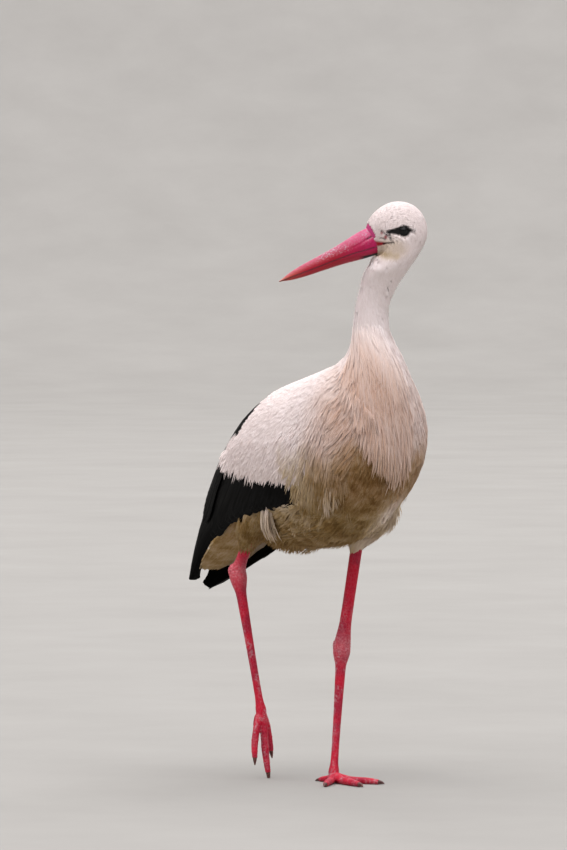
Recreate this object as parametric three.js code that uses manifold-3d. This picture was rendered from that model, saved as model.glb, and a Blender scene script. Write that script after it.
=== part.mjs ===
// White stork (Ciconia ciconia), life size, standing on the left leg with the right toes just touching down.
// Millimetres, +Z up. The bird faces -Y and its left side is +X. The floor is the plane Z = 0.
//
// The flesh is lofted over rings. A ring row says where a cross-section sits, which way the bird faces there,
// how far the section's belly side leans forward from straight down, and how wide and deep the section is.
import * as THREE from "three";
import { mergeVertices } from "three/addons/utils/BufferGeometryUtils.js";
import Module from "manifold-3d";

const wasm = await Module();
wasm.setup();

// ---------------------------------------------------------------- driving dimensions

const GAP = 0.4; // clearance between neighbouring pieces
const RAD = Math.PI / 180;

// Rings from the rump forward over the trunk, up the neck and over the head to the bill.
// x, y, z, heading to the right in degrees, lean in degrees, half width, half depth
const BODY = [
  [0, 322, 424, 0, 15, 14, 20],
  [0, 298, 416, 0, 15, 36, 52],
  [0, 252, 426, 0, 12, 57, 83],
  [0, 198, 443, 0, 10, 75, 103],
  [0, 135, 460, 0, 10, 84, 114],
  [0, 74, 476, 0, 12, 87, 120],
  [0, 25, 494, 0, 14, 86, 118],
  [0, -11, 513, 0, 19, 84, 112],
  [0, -36, 537, 0, 26, 79, 100],
  [0, -46, 568, 0, 37, 63, 80],
  [0, -44, 598, 0, 50, 48, 62],
  [0, -35, 630, 2, 66, 35, 44],
  [0, -22, 657, 8, 80, 27, 30],
  [0, -21, 680, 20, 88, 24.5, 26],
  [1, -25, 703, 42, 90, 24, 24],
  [5, -30, 721, 64, 90, 25.5, 26],
  [8, -36, 735, 82, 90, 27, 29],
  [12, -45, 749, 94, 87, 28, 32],
  [20, -49, 763, 101, 80, 29, 36],
  [28, -50, 779, 103, 68, 30, 44],
  [28, -50, 794, 103, 53, 31, 47],
  [21, -48, 804, 103, 35, 31, 46],
  [9, -45, 806, 103, 17, 28, 41],
  [-3, -43, 801, 103, 1, 21, 33],
  [-10, -41, 791, 103, -20, 14, 24],
  [-13, -40, 789, 103, -22, 9, 16],
];
const CUTS = { breastBack: 7.6, trunkEnd: 11.6, neckLow: 13.6, neckMid: 15.4, neckTop: 18.2 }; // ring numbers where the body is parted

// Rings of the folded wings' outer surface, from the shoulder back to the wing tips.
// y, z, lean, half width, half depth
const MANTLE = [
  [-44, 552, 30, 70, 82],
  [-12, 518, 22, 89, 106],
  [42, 492, 17, 96, 117],
  [106, 475, 16, 97, 119],
  [170, 463, 16, 94, 115],
  [234, 444, 17, 85, 106],
  [296, 417, 17, 73, 87],
  [350, 382, 18, 60, 67],
  [400, 346, 19, 49, 46],
  [438, 309, 20, 40, 27],
  [457, 288, 20, 34, 13],
];
// Edges of each wing on that surface, in degrees round from the back, at each mantle ring: the edge along the
// back, the top and bottom of the white coverts, and the wing's lower edge.
const WING_TOP = [44, 16, 8, 5, 4, 4, 5, 7, 10, 20, 58];
const WHITE_TOP = [44, 16, 8, 6, 10, 32, 50, 58, 58, 58, 58];
const WHITE_BOTTOM = [84, 98, 112, 105, 99, 86, 66, 60, 60, 60, 60];
const WING_BOTTOM = {
  left: [90, 108, 130, 131, 129, 128, 133, 144, 160, 156, 118],
  right: [90, 108, 130, 131, 129, 127, 125, 121, 116, 116, 108],
};
const WING_THICK = 9;
const LEFT = { droop: 15, inward: 16, back: 12 }; // how the left wing's tip hangs: lower, over the tail, further back

const HEAD = { x: 28, y: -50, heading: 103 };
const EYE = { forward: 1, side: 23.8, z: 804.5, radius: 8.5 };
const BILL = {
  base: [39, 789], // forward of the head's reference point, and height
  tip: [178, 732.5],
  depth: [21.2, 19.8, 16.8, 14, 12.1, 10.4, 8.6, 5.6, 0.8], // half depths from base to tip
  width: [12.5, 12, 10.2, 8.6, 7.4, 6.4, 5.2, 3.4, 0.8],
  mouth: [-9, -6.8, -4, -2.8, -2.1, -1.5, -0.7, 0], // the mouth line above the axis, from under the eye to the tip
};

// Each leg: the feathered thigh as rows of x, y, z, half width and half depth; then the knee end of the bare
// shank, the heel joint and the ball of the foot; then the toes, from the ball of the foot to the claw.
const LEGS = {
  left: {
    thigh: [
      [40, 82, 468, 34, 48],
      [50, 89, 430, 41, 52],
      [58, 96, 396, 39, 46],
      [59, 103, 372, 30, 34],
      [57, 110, 355, 17, 19],
      [54, 112, 346, 9.5, 10.5],
    ],
    bones: [[55, 106, 372], [47, 143, 197], [22, 124, 13]],
    toes: {
      inner: [[22, 124, 9], [6, 105, 5.2], [-10, 86, 4.7], [-22, 72, 3.6]],
      middle: [[22, 124, 9], [21, 98, 5.6], [20, 70, 5], [19.5, 46, 3.8]],
      outer: [[22, 124, 9], [38, 103, 5.2], [53, 82, 4.7], [64, 66, 3.6]],
      hind: [[22, 124, 9], [20, 136, 5.6], [17, 147, 3.8], [15, 153, 2.9]],
    },
  },
  right: {
    thigh: [
      [-44, 165, 462, 46, 60],
      [-48, 195, 422, 42, 52],
      [-50, 218, 392, 33, 38],
      [-50, 236, 364, 22, 25],
      [-50, 248, 345, 13, 15],
      [-50, 253, 336, 9.5, 10.5],
    ],
    bones: [[-50, 232, 372], [-52.5, 277, 302], [-27, 251, 96]],
    toes: {
      inner: [[-27, 251, 94], [-17, 253, 76], [-12, 254, 54], [-10, 252, 38]],
      middle: [[-27, 251, 94], [-25, 247, 68], [-24, 244, 38], [-23, 238, 8]],
      outer: [[-27, 251, 94], [-36, 248, 74], [-41, 246, 50], [-43, 242, 30]],
      hind: [[-27, 251, 94], [-26, 264, 88], [-26, 269, 78], [-26, 269, 72]],
    },
  },
};
// Half widths down the shank (from knee to heel) and down the tarsus (from heel to foot): distance as a share, half width.
const SHANK = [[0, 9], [0.3, 8.6], [0.6, 8.4], [0.8, 8.8], [0.9, 10.5], [0.96, 12], [1, 12.6]];
const TARSUS = [[0, 12.6], [0.05, 12.6], [0.1, 10.4], [0.16, 7.9], [0.3, 7], [0.6, 5.8], [0.88, 5.6], [0.97, 7.6], [1, 8]];
const TOE_RADII = { inner: [7.5, 5.4, 5, 3.8], middle: [8, 5.8, 5.4, 4], outer: [7.5, 5.4, 5, 3.8], hind: [6.5, 4.6, 4, 3] };
const CLAW_LENGTH = { inner: 9, middle: 11, outer: 9, hind: 8 };

// ---------------------------------------------------------------- curves and solids

// A smooth row of numbers at place t along a table of rows, t counting rows.
function along(rows, t) {
  const i = Math.min(Math.max(Math.floor(t), 0), rows.length - 2);
  const f = t - i;
  const at = (k) => rows[Math.min(Math.max(k, 0), rows.length - 1)];
  const [a, b, c, d] = [at(i - 1), at(i), at(i + 1), at(i + 2)].map((r) => (Array.isArray(r) ? r : [r]));
  return b.map((p, k) => {
    const m0 = (c[k] - a[k]) / 2;
    const m1 = (d[k] - p) / 2;
    const h = c[k] - p;
    return p + m0 * f + (3 * h - 2 * m0 - m1) * f * f + (m0 + m1 - 2 * h) * f * f * f;
  });
}

const curve = (values, t) => along(values, t * (values.length - 1))[0];

// The point of a ring at an angle from its back, on the bird's left for positive angles. A section is a little
// squarer than an ellipse, and narrows towards the belly.
function ringPoint([x, y, z, heading, lean, width, depth], angle, grow = 0, keel = 0.1) {
  const forward = [-Math.sin(heading * RAD), -Math.cos(heading * RAD)];
  const left = [Math.cos(heading * RAD), -Math.sin(heading * RAD)];
  const across = Math.sign(Math.sin(angle)) * Math.abs(Math.sin(angle)) ** 0.92;
  const down = -Math.sign(Math.cos(angle)) * Math.abs(Math.cos(angle)) ** 0.92;
  const w = (width + grow) * across * (1 - keel * Math.max(down, 0) ** 2);
  const d = (depth + grow) * down;
  const reach = d * Math.sin(lean * RAD);
  return new THREE.Vector3(
    x + left[0] * w + forward[0] * reach,
    y + left[1] * w + forward[1] * reach,
    z - d * Math.cos(lean * RAD),
  );
}

// Moves every vertex of a closed three.js geometry to where place() says its uv-like coordinates belong.
function bend(geometry, place) {
  const p = geometry.attributes.position;
  for (let i = 0; i < p.count; i++) {
    const v = place(new THREE.Vector3().fromBufferAttribute(p, i));
    p.setXYZ(i, v.x, v.y, v.z);
  }
  return geometry;
}

function solid(geometry) {
  const bare = new THREE.BufferGeometry().setAttribute("position", geometry.attributes.position);
  bare.setIndex(geometry.index);
  const merged = mergeVertices(bare, 1e-3);
  const vertProperties = merged.attributes.position.array;
  const triVerts = new Uint32Array(merged.index.array);
  const made = new wasm.Manifold(new wasm.Mesh({ numProp: 3, vertProperties, triVerts }));
  if (made.volume() >= 0) return made;
  for (let i = 0; i < triVerts.length; i += 3) [triVerts[i], triVerts[i + 1]] = [triVerts[i + 1], triVerts[i]];
  return new wasm.Manifold(new wasm.Mesh({ numProp: 3, vertProperties, triVerts }));
}

// A closed loft: a ball's grid, with its poles at the two ends, laid over place(share along, angle round).
function loft(rings, sides, place) {
  const ball = new THREE.SphereGeometry(1, sides, rings);
  return solid(
    bend(ball, (v) => {
      const share = Math.acos(THREE.MathUtils.clamp(v.y, -1, 1)) / Math.PI;
      const radius = Math.hypot(v.x, v.z);
      const end = radius < 1e-6;
      return place(share, end ? 0 : Math.atan2(v.x, v.z), end ? 0 : 1);
    }),
  );
}

// A closed sheet with thickness: a flat box's grid laid over place(along 0..1, across 0..1, side -1 or 1).
function shell(lengthwise, crosswise, place) {
  const box = new THREE.BoxGeometry(1, 1, 1, lengthwise, crosswise, 1);
  return solid(bend(box, (v) => place(v.x + 0.5, v.y + 0.5, Math.sign(v.z))));
}

// ---------------------------------------------------------------- flesh

// The body from ring `from` to ring `to`, closed flat at both ends.
function bodyLength(from, to, rings, sides, grow = 0) {
  return loft(rings + 2, sides, (share, angle, open) => {
    const inner = THREE.MathUtils.clamp((share * (rings + 2) - 1) / rings, 0, 1);
    const row = along(BODY, from + inner * (to - from));
    return open ? ringPoint(row, angle, grow) : new THREE.Vector3(row[0], row[1], row[2]);
  });
}

// One wing's patch of the mantle between two edges, thick on the outside of the trunk. Its front edge can sweep back
// towards the bottom.
function wingPatch(side, from, to, topEdge, bottomEdge, { outer = 0, inner = -WING_THICK, sweep = 0, cells = [14, 8] } = {}) {
  return shell(...cells, (a, c, face) => {
    const t = THREE.MathUtils.lerp(from + sweep * c * c, to, a);
    const [y, z, lean, width, depth] = along(MANTLE, t);
    const left = side > 0 ? 1 : 0;
    const droop = left * LEFT.droop * THREE.MathUtils.smoothstep(t, 5, 8);
    const tip = left * THREE.MathUtils.smoothstep(t, 7, 10.5);
    const grow = face > 0 ? outer : inner + (THREE.MathUtils.smoothstep(t, 5, 10) * WING_THICK) / 2;
    const angle = side * THREE.MathUtils.lerp(along(topEdge, t)[0], along(bottomEdge, t)[0], c) * RAD;
    return ringPoint([-LEFT.inward * tip, y + LEFT.back * tip, z - droop, 0, lean, width, depth], angle, grow, 0.04);
  });
}

const shifted = (edge, by) => edge.map((angle) => angle + by);

function makeWing(side) {
  const bottom = WING_BOTTOM[side > 0 ? "left" : "right"];
  const quillTop = WHITE_BOTTOM.map((edge, i) => (i < 7 ? edge : WING_TOP[i]));
  const coverts = (room) =>
    wingPatch(side, -room / 50, 6.5 + room / 50, shifted(WHITE_TOP, -room), shifted(WHITE_BOTTOM, room), {
      outer: 2 + room,
      inner: -WING_THICK - room,
      sweep: 1.6,
      cells: [12, 6],
    });
  const tertials = (room) =>
    wingPatch(side, 3.9 - room / 50, 6.5 + room / 50, shifted(WING_TOP, -room), shifted(WHITE_TOP, 2 + room), {
      outer: room,
      inner: -WING_THICK - room,
      cells: [6, 3],
    });
  const quills = wingPatch(side, 2.3, 6.9, shifted(quillTop, -2), bottom, { cells: [10, 4] });
  return {
    coverts: coverts(0),
    tertials: main(tertials(0).subtract(coverts(0.5))),
    secondaries: main(quills.subtract(coverts(0.5)).subtract(tertials(0.5))),
    primaries: wingPatch(side, 6.93, 10, WING_TOP, bottom, { cells: [7, 5] }),
  };
}

// The fan of tail feathers under the wing tips.
function makeTail(grow = 0) {
  const rows = [
    [290, 400, 42, 34],
    [325, 371, 48, 30],
    [365, 343, 48, 22],
    [405, 314, 43, 11],
    [429, 301, 34, 5],
  ];
  return shell(10, 8, (a, c, face) => {
    const [y, z, width, depth] = along(rows, a * (rows.length - 1));
    const across = 2 * c - 1;
    const crown = Math.sqrt(Math.max(1 - across * across * 0.96, 0));
    return new THREE.Vector3(
      (width + grow) * across,
      y - face * (depth + grow) * 0.45 * crown + 22 * crown * a - 10,
      z + face * (depth + grow) * crown,
    );
  });
}

// The stations of a straight bone between two joints, as a path and its half widths.
const boneLength = ([from, to], stations) => ({
  points: stations.map(([share]) => from.map((v, k) => THREE.MathUtils.lerp(v, to[k], share))),
  radii: stations.map(([, radius]) => radius),
});

// A bare limb: circles carried along a curve through the given points.
function limb({ points, radii }, rings, sides, grow = 0) {
  const path = new THREE.CatmullRomCurve3(points.map((p) => new THREE.Vector3(...p)));
  const frames = path.computeFrenetFrames(rings, false);
  const across = frames.tangents.map((t) => new THREE.Vector3(1, 0, 0).addScaledVector(t, -t.x).normalize());
  return loft(rings + 2, sides, (share, angle, open) => {
    const inner = THREE.MathUtils.clamp((share * (rings + 2) - 1) / rings, 0, 1);
    const i = Math.round(inner * rings);
    const point = path.getPoint(inner);
    if (!open) return point;
    const radius = curve(radii, inner) + grow;
    const depth = new THREE.Vector3().crossVectors(frames.tangents[i], across[i]);
    return point.addScaledVector(across[i], radius * Math.sin(angle)).addScaledVector(depth, radius * Math.cos(angle));
  });
}

// The feathered thigh: rows of x, y, z, half width and half depth, from the flank down.
function makeThigh(rows, grow = 0) {
  return loft(10, 14, (share, angle, open) => {
    const inner = THREE.MathUtils.clamp((share * 10 - 1) / 8, 0, 1);
    const [x, y, z, width, depth] = along(rows, inner * (rows.length - 1));
    const k = open ? 1 : 0;
    return new THREE.Vector3(x + k * (width + grow) * Math.sin(angle), y + k * (depth + grow) * Math.cos(angle), z);
  });
}

// ---------------------------------------------------------------- head

// A point given in the head's own terms: forward along the bill's heading, to the head's left, and height.
function headPoint(forward, left, z) {
  const h = HEAD.heading * RAD;
  return new THREE.Vector3(
    HEAD.x - Math.sin(h) * forward + Math.cos(h) * left,
    HEAD.y - Math.cos(h) * forward - Math.sin(h) * left,
    z,
  );
}

// The whole bill as one cone-like loft, to be split along the mouth.
function makeBill(grow = 0, tail = 0) {
  const [f0, z0] = BILL.base;
  const [f1, z1] = BILL.tip;
  const length = Math.hypot(f1 - f0, z1 - z0);
  const dir = [(f1 - f0) / length, (z1 - z0) / length];
  return loft(13, 14, (share, angle, open) => {
    const s = THREE.MathUtils.clamp((share * 13 - 1) / 11, 0, 1);
    const run = -tail + s * (length + tail);
    const t = Math.max(run / length, 0);
    const depth = curve(BILL.depth, t) + grow;
    const width = curve(BILL.width, t) + grow;
    const up = open ? depth * Math.cos(angle) * (angle * angle > (Math.PI / 2) ** 2 ? 0.92 : 1) : 0;
    const side = open ? width * Math.sin(angle) * (1 - 0.35 * Math.max(Math.cos(angle), 0) ** 2) : 0;
    return headPoint(f0 + dir[0] * run - dir[1] * up, side, z0 + dir[1] * run + dir[0] * up);
  });
}

// A slab along the mouth line, from under the eye to the bill's tip.
function mouthSlab(above) {
  const [f0, z0] = BILL.base;
  const [f1, z1] = BILL.tip;
  const length = Math.hypot(f1 - f0, z1 - z0);
  const dir = [(f1 - f0) / length, (z1 - z0) / length];
  return shell(10, 1, (a, c, face) => {
    const run = THREE.MathUtils.lerp(-14, length + 6, a);
    const line = curve(BILL.mouth, THREE.MathUtils.clamp(a, 0, 1));
    const up = face > 0 ? line + (above ? 60 : GAP / 2) : line + (above ? GAP / 2 : -60);
    return headPoint(f0 + dir[0] * run - dir[1] * up, 60 * (c - 0.5), z0 + dir[1] * run + dir[0] * up);
  });
}

function makeEye(side, grow = 0) {
  const centre = headPoint(EYE.forward, side * EYE.side, EYE.z);
  return solid(new THREE.SphereGeometry(EYE.radius + grow, 14, 8).translate(centre.x, centre.y, centre.z));
}

// ---------------------------------------------------------------- feet

const makeToe = (points, radii, grow = 0) => limb({ points, radii }, 5, 7, grow);

// A short blunt claw that carries on the line of its toe.
function makeClaw(points, length, radius, grow = 0) {
  const end = new THREE.Vector3(...points[points.length - 1]);
  const before = new THREE.Vector3(...points[points.length - 2]);
  const dir = end.clone().sub(before).normalize();
  const root = end.clone().addScaledVector(dir, 0.6);
  const mid = end.clone().addScaledVector(dir, length * 0.6);
  const tip = end.clone().addScaledVector(dir, length);
  tip.z = Math.max(tip.z - 1.5, 0.3);
  return limb({ points: [root.toArray(), mid.toArray(), tip.toArray()], radii: [radius * 0.8, radius * 0.62, 0.9] }, 3, 6, grow);
}

// ---------------------------------------------------------------- assembly

const MATERIALS = {
  white_plumage: ["#ece2da", 0.85, 0],
  belly_plumage: ["#c9b394", 0.9, 0],
  black_plumage: ["#0d0b0c", 0.6, 0],
  bill_red: ["#b81f3a", 0.45, 0],
  leg_red: ["#b32a40", 0.6, 0],
  eye_dark: ["#0b0809", 0.1, 0],
  claw_brown: ["#4d2a26", 0.5, 0],
};

const bird = new THREE.Group();

function add(name, made, finish) {
  const mesh = made.getMesh();
  const positions = new Float32Array(mesh.numVert * 3);
  for (let i = 0; i < mesh.numVert; i++) {
    positions.set(mesh.vertProperties.subarray(i * mesh.numProp, i * mesh.numProp + 3), i * 3);
  }
  const geometry = new THREE.BufferGeometry();
  geometry.setAttribute("position", new THREE.BufferAttribute(positions, 3));
  geometry.setIndex(new THREE.BufferAttribute(new Uint32Array(mesh.triVerts), 1));
  const [color, roughness, metalness] = MATERIALS[finish];
  const piece = new THREE.Mesh(geometry, new THREE.MeshStandardMaterial({ color, roughness, metalness }));
  piece.name = name;
  bird.add(piece);
}

// The largest body of a cut solid, without crumbs.
function main(made) {
  return made.decompose().sort((a, b) => b.volume() - a.volume())[0];
}

const without = (made, ...others) => main(others.reduce((left, other) => left.subtract(other), made));

const floor = solid(new THREE.BoxGeometry(2000, 2000, 200).translate(0, 0, -100));
const wings = { left: makeWing(1), right: makeWing(-1) };
const wingRoom = [1, -1].map((side) =>
  wingPatch(side, -0.1, 10, shifted(WING_TOP, -2), shifted(WING_BOTTOM[side > 0 ? "left" : "right"], 2), {
    outer: 40,
    inner: -WING_THICK - 2,
    cells: [14, 6],
  }),
);
const eyes = { left: makeEye(1), right: makeEye(-1) };
const eyeRoom = [makeEye(1, GAP), makeEye(-1, GAP)];
const billRoom = makeBill(GAP, 20);
const thighRoom = Object.values(LEGS).map((leg) => makeThigh(leg.thigh, GAP));

add("trunk", without(bodyLength(0, CUTS.breastBack, 11, 20), ...wingRoom, ...thighRoom), "belly_plumage");
add("breast", without(bodyLength(CUTS.breastBack + 0.02, CUTS.trunkEnd, 7, 20), ...wingRoom, ...thighRoom), "white_plumage");
add("tail", without(makeTail(), bodyLength(0, 4, 6, 20, 2)), "white_plumage");
add("neck_lower", main(bodyLength(CUTS.trunkEnd + 0.02, CUTS.neckLow, 4, 22)), "white_plumage");
add("neck_middle", main(bodyLength(CUTS.neckLow + 0.02, CUTS.neckMid, 4, 20)), "white_plumage");
add("neck_upper", main(bodyLength(CUTS.neckMid + 0.02, CUTS.neckTop, 5, 20)), "white_plumage");
add("head", without(bodyLength(CUTS.neckTop + 0.02, BODY.length - 1, 12, 18), ...eyeRoom, billRoom), "white_plumage");
const bill = makeBill();
add("bill_upper", main(bill.intersect(mouthSlab(true))), "bill_red");
add("bill_lower", main(bill.intersect(mouthSlab(false))), "bill_red");

for (const [name, leg] of Object.entries(LEGS)) {
  add(`eye_${name}`, eyes[name], "eye_dark");
  const wing = wings[name];
  const tailRoom = makeTail(3);
  add(`wing_${name}_coverts`, main(wing.coverts), "white_plumage");
  add(`wing_${name}_tertials`, wing.tertials, "black_plumage");
  add(`wing_${name}_secondaries`, without(wing.secondaries, tailRoom), "black_plumage");
  add(`wing_${name}_primaries`, without(wing.primaries, tailRoom), "black_plumage");
  const [knee, heel, foot] = leg.bones;
  const shank = boneLength([knee, heel], SHANK);
  const tarsus = boneLength([heel, foot], TARSUS);
  const shankRoom = limb(shank, 7, 9, GAP);
  add(`thigh_${name}`, without(makeThigh(leg.thigh), shankRoom, wingRoom[0], wingRoom[1]), "belly_plumage");
  const tarsusRoom = limb(tarsus, 12, 9, GAP);
  add(`shank_${name}`, without(limb(shank, 7, 9), tarsusRoom), "leg_red");
  const toes = Object.keys(leg.toes);
  const toeRoom = toes.map((toe) => makeToe(leg.toes[toe], TOE_RADII[toe], GAP));
  add(`tarsus_${name}`, without(limb(tarsus, 12, 9), floor), "leg_red");
  toes.forEach((toe, i) => {
    const claw = makeClaw(leg.toes[toe], CLAW_LENGTH[toe], TOE_RADII[toe][3]);
    const clawRoom = makeClaw(leg.toes[toe], CLAW_LENGTH[toe], TOE_RADII[toe][3], GAP);
    const earlier = toeRoom.slice(0, i);
    add(`toe_${name}_${toe}`, without(makeToe(leg.toes[toe], TOE_RADII[toe]), tarsusRoom, clawRoom, floor, ...earlier), "leg_red");
    add(`claw_${name}_${toe}`, without(claw, floor), "claw_brown");
  });
}

// The origin is on the floor under the middle of the whole bird.
const box = new THREE.Box3().setFromObject(bird);
bird.position.set(-Math.round((box.min.x + box.max.x) / 2), -Math.round((box.min.y + box.max.y) / 2), -box.min.z);

const part = new THREE.Group();
part.add(bird);
export default part;
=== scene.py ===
"""A white stork at life size, standing on its left leg with its head turned to its right.

Shapes are worked out in millimetres in the bird's own terms: it faces -Y, its left side is +X and the floor
is Z = 0. mesh_from() turns them to metres and sets them in the CAD frame. The flesh is lofted over rings: a
ring says where a cross-section sits, which way the bird faces there, how far the belly side of the section
leans forward, and its half width and half depth. Feathers are closed blades that lie along those lofts.
"""

import math

import bpy
import numpy as np
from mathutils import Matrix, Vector


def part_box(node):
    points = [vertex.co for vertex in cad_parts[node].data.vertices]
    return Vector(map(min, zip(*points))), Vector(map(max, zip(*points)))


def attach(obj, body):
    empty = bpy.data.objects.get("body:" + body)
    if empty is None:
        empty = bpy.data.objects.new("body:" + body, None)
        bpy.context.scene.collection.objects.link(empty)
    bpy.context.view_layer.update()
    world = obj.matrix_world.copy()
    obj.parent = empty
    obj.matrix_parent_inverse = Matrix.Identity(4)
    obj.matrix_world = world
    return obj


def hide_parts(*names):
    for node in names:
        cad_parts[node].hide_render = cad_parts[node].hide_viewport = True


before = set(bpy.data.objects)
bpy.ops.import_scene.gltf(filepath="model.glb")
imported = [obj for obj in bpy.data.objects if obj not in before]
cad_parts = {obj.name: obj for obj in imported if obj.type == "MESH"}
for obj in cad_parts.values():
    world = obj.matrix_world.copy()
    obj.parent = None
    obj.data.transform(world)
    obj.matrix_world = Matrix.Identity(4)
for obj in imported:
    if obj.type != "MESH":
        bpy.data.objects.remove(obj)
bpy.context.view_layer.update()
RAD = math.pi / 180

# ------------------------------------------------------------------ the bird's measures, in millimetres

# x, y, z, heading to the right in degrees, lean in degrees, half width, half depth
BODY = np.array([
    [0, 322, 424, 0, 15, 14, 20],
    [0, 298, 416, 0, 15, 36, 52],
    [0, 252, 426, 0, 12, 57, 83],
    [0, 198, 443, 0, 10, 75, 103],
    [0, 135, 460, 0, 10, 84, 114],
    [0, 74, 476, 0, 12, 87, 120],
    [0, 25, 494, 0, 14, 86, 118],
    [0, -11, 513, 0, 19, 84, 112],
    [0, -36, 537, 0, 26, 79, 100],
    [0, -46, 568, 0, 37, 63, 80],
    [0, -44, 598, 0, 50, 48, 62],
    [0, -35, 630, 2, 66, 35, 44],
    [0, -22, 657, 8, 80, 27, 30],
    [0, -21, 680, 20, 88, 24.5, 26],
    [1, -25, 703, 42, 90, 24, 24],
    [5, -30, 721, 64, 90, 25.5, 26],
    [8, -36, 735, 82, 90, 27, 29],
    [12, -45, 749, 94, 87, 28, 32],
    [20, -49, 763, 101, 80, 29, 36],
    [28, -50, 779, 103, 68, 30, 44],
    [28, -50, 794, 103, 53, 31, 47],
    [21, -48, 804, 103, 35, 31, 46],
    [9, -45, 806, 103, 17, 28, 41],
    [-3, -43, 801, 103, 1, 21, 33],
    [-10, -41, 791, 103, -20, 14, 24],
    [-13, -40, 789, 103, -22, 9, 16],
])
# The folded wings' outer surface: y, z, lean, half width, half depth
MANTLE = np.array([
    [-44, 552, 30, 70, 82],
    [-12, 518, 22, 89, 106],
    [42, 492, 17, 96, 117],
    [106, 475, 16, 97, 119],
    [170, 463, 16, 94, 115],
    [234, 444, 17, 85, 106],
    [296, 417, 17, 73, 87],
    [350, 382, 18, 60, 67],
    [400, 346, 19, 49, 46],
    [438, 309, 20, 40, 27],
    [457, 288, 20, 34, 13],
])
# Angles from the top of each of its rings, in degrees: the wing's upper edge, the white's upper and lower
# edges, and the wing's lower edge on each side
WING_TOP = np.array([44, 16, 8, 5, 4, 4, 5, 7, 10, 20, 58.0])
WHITE_TOP = np.array([44, 16, 8, 14, 50, 66, 56, 58, 58, 58, 58.0])
WHITE_BOTTOM = np.array([84, 98, 112, 105, 99, 86, 66, 60, 60, 60, 60.0])
WING_BOTTOM = {
    1: np.array([90, 108, 130, 131, 129, 128, 133, 144, 160, 156, 118.0]),
    -1: np.array([90, 108, 130, 131, 129, 127, 125, 121, 116, 116, 108.0]),
}
LEFT = {"droop": 15, "inward": 16, "back": 12}  # how the left wing's end lies, against the right one's
# The tail: y, z, half width, half depth
TAIL = np.array([
    [290, 400, 42, 34], [325, 371, 48, 30], [365, 343, 48, 22], [405, 314, 43, 11], [429, 301, 34, 5],
])
# The head turns about x, y; eye and bill are given forward of that, to its side and by height. The bill's
# half depth and half width run evenly from base to tip, its mouth line's height over the axis from the corner
HEAD = {"x": 28, "y": -50, "heading": 103}
EYE = {"forward": 1, "side": 23.8, "z": 804.5, "radius": 8.5}
BILL = {
    "base": np.array([39, 789]),
    "tip": np.array([178, 732.5]),
    "depth": np.array([21.2, 19.8, 16.8, 14, 12.1, 10.4, 8.6, 5.6, 0.8]),
    "width": np.array([12.5, 12, 10.2, 8.6, 7.4, 6.4, 5.2, 3.4, 0.8]),
    "mouth": np.array([-9, -6.8, -4, -2.8, -2.1, -1.5, -0.7, 0]),
}
SIDES = {"left": 1, "right": -1}
NECK_FOOT, NECK_TOP = 640, 740  # heights between which the neck lies
BODY_END, WING_END, TAIL_END, THIGH_END = len(BODY) - 1, len(MANTLE) - 1, len(TAIL) - 1, 5  # last rings
COVERED = 0.93  # the share of a folded wing's depth, from its top edge, that hides the feathers under it
# The feathered thigh as rows of x, y, z, half width, half depth; the knee end of the shank, the heel and the
# ball of the foot; the toes from the ball of the foot to the claw.
LEGS = {
    "left": {
        "thigh": [[40, 82, 468, 34, 48], [50, 89, 430, 41, 52], [58, 96, 396, 39, 46], [59, 103, 372, 30, 34],
                  [57, 110, 355, 17, 19], [54, 112, 346, 9.5, 10.5]],
        "bones": [[55, 106, 372], [47, 143, 197], [22, 124, 13]],
        "toes": {
            "inner": [[22, 124, 9], [6, 105, 5.2], [-10, 86, 4.7], [-22, 72, 3.6]],
            "middle": [[22, 124, 9], [21, 98, 5.6], [20, 70, 5], [19.5, 46, 3.8]],
            "outer": [[22, 124, 9], [38, 103, 5.2], [53, 82, 4.7], [64, 66, 3.6]],
            "hind": [[22, 124, 9], [20, 136, 5.6], [17, 147, 3.8], [15, 153, 2.9]],
        },
    },
    "right": {
        "thigh": [[-44, 165, 462, 46, 60], [-48, 195, 422, 42, 52], [-50, 218, 392, 33, 38],
                  [-50, 236, 364, 22, 25], [-50, 248, 345, 13, 15], [-50, 253, 336, 9.5, 10.5]],
        "bones": [[-50, 232, 372], [-52.5, 277, 302], [-27, 251, 96]],
        "toes": {
            "inner": [[-27, 251, 94], [-17, 253, 76], [-12, 254, 54], [-10, 252, 38]],
            "middle": [[-27, 251, 94], [-25, 247, 68], [-24, 244, 38], [-23, 238, 8]],
            "outer": [[-27, 251, 94], [-36, 248, 74], [-41, 246, 50], [-43, 242, 30]],
            "hind": [[-27, 251, 94], [-26, 264, 88], [-26, 269, 78], [-26, 269, 72]],
        },
    },
}
# Half widths at shares of the two bare bones, half widths along each toe, and how long its claw is
SHANK = [[0, 9], [0.3, 8.6], [0.6, 8.4], [0.8, 8.8], [0.9, 10.5], [0.96, 12], [1, 12.6]]
TARSUS = [
    [0, 12.6], [0.05, 12.6], [0.1, 10.4], [0.16, 7.9], [0.3, 7], [0.6, 5.8], [0.88, 5.6], [0.97, 7.6], [1, 8],
]
TOE = {
    "inner": [7.5, 5.4, 5, 3.8],
    "middle": [8, 5.8, 5.4, 4],
    "outer": [7.5, 5.4, 5, 3.8],
    "hind": [6.5, 4.6, 4, 3],
}
CLAW = {"inner": 9, "middle": 11, "outer": 9, "hind": 8}

# ------------------------------------------------------------------ curves and surfaces


def lengths(v):
    """The length of each vector along the last axis."""
    return np.linalg.norm(v, axis=-1)


def unit(v):
    """One vector at length one."""
    return v / np.linalg.norm(v)


def circle(count):
    """Angles evenly round a full turn, the last one short of the first."""
    return np.linspace(0, 2 * math.pi, count, endpoint=False)


def smoothstep(x, low, high):
    """0 below low, 1 above high, 3s^2 - 2s^3 between."""
    s = np.clip((np.asarray(x, float) - low) / (high - low), 0, 1)
    return s * s * (3 - 2 * s)


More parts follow.
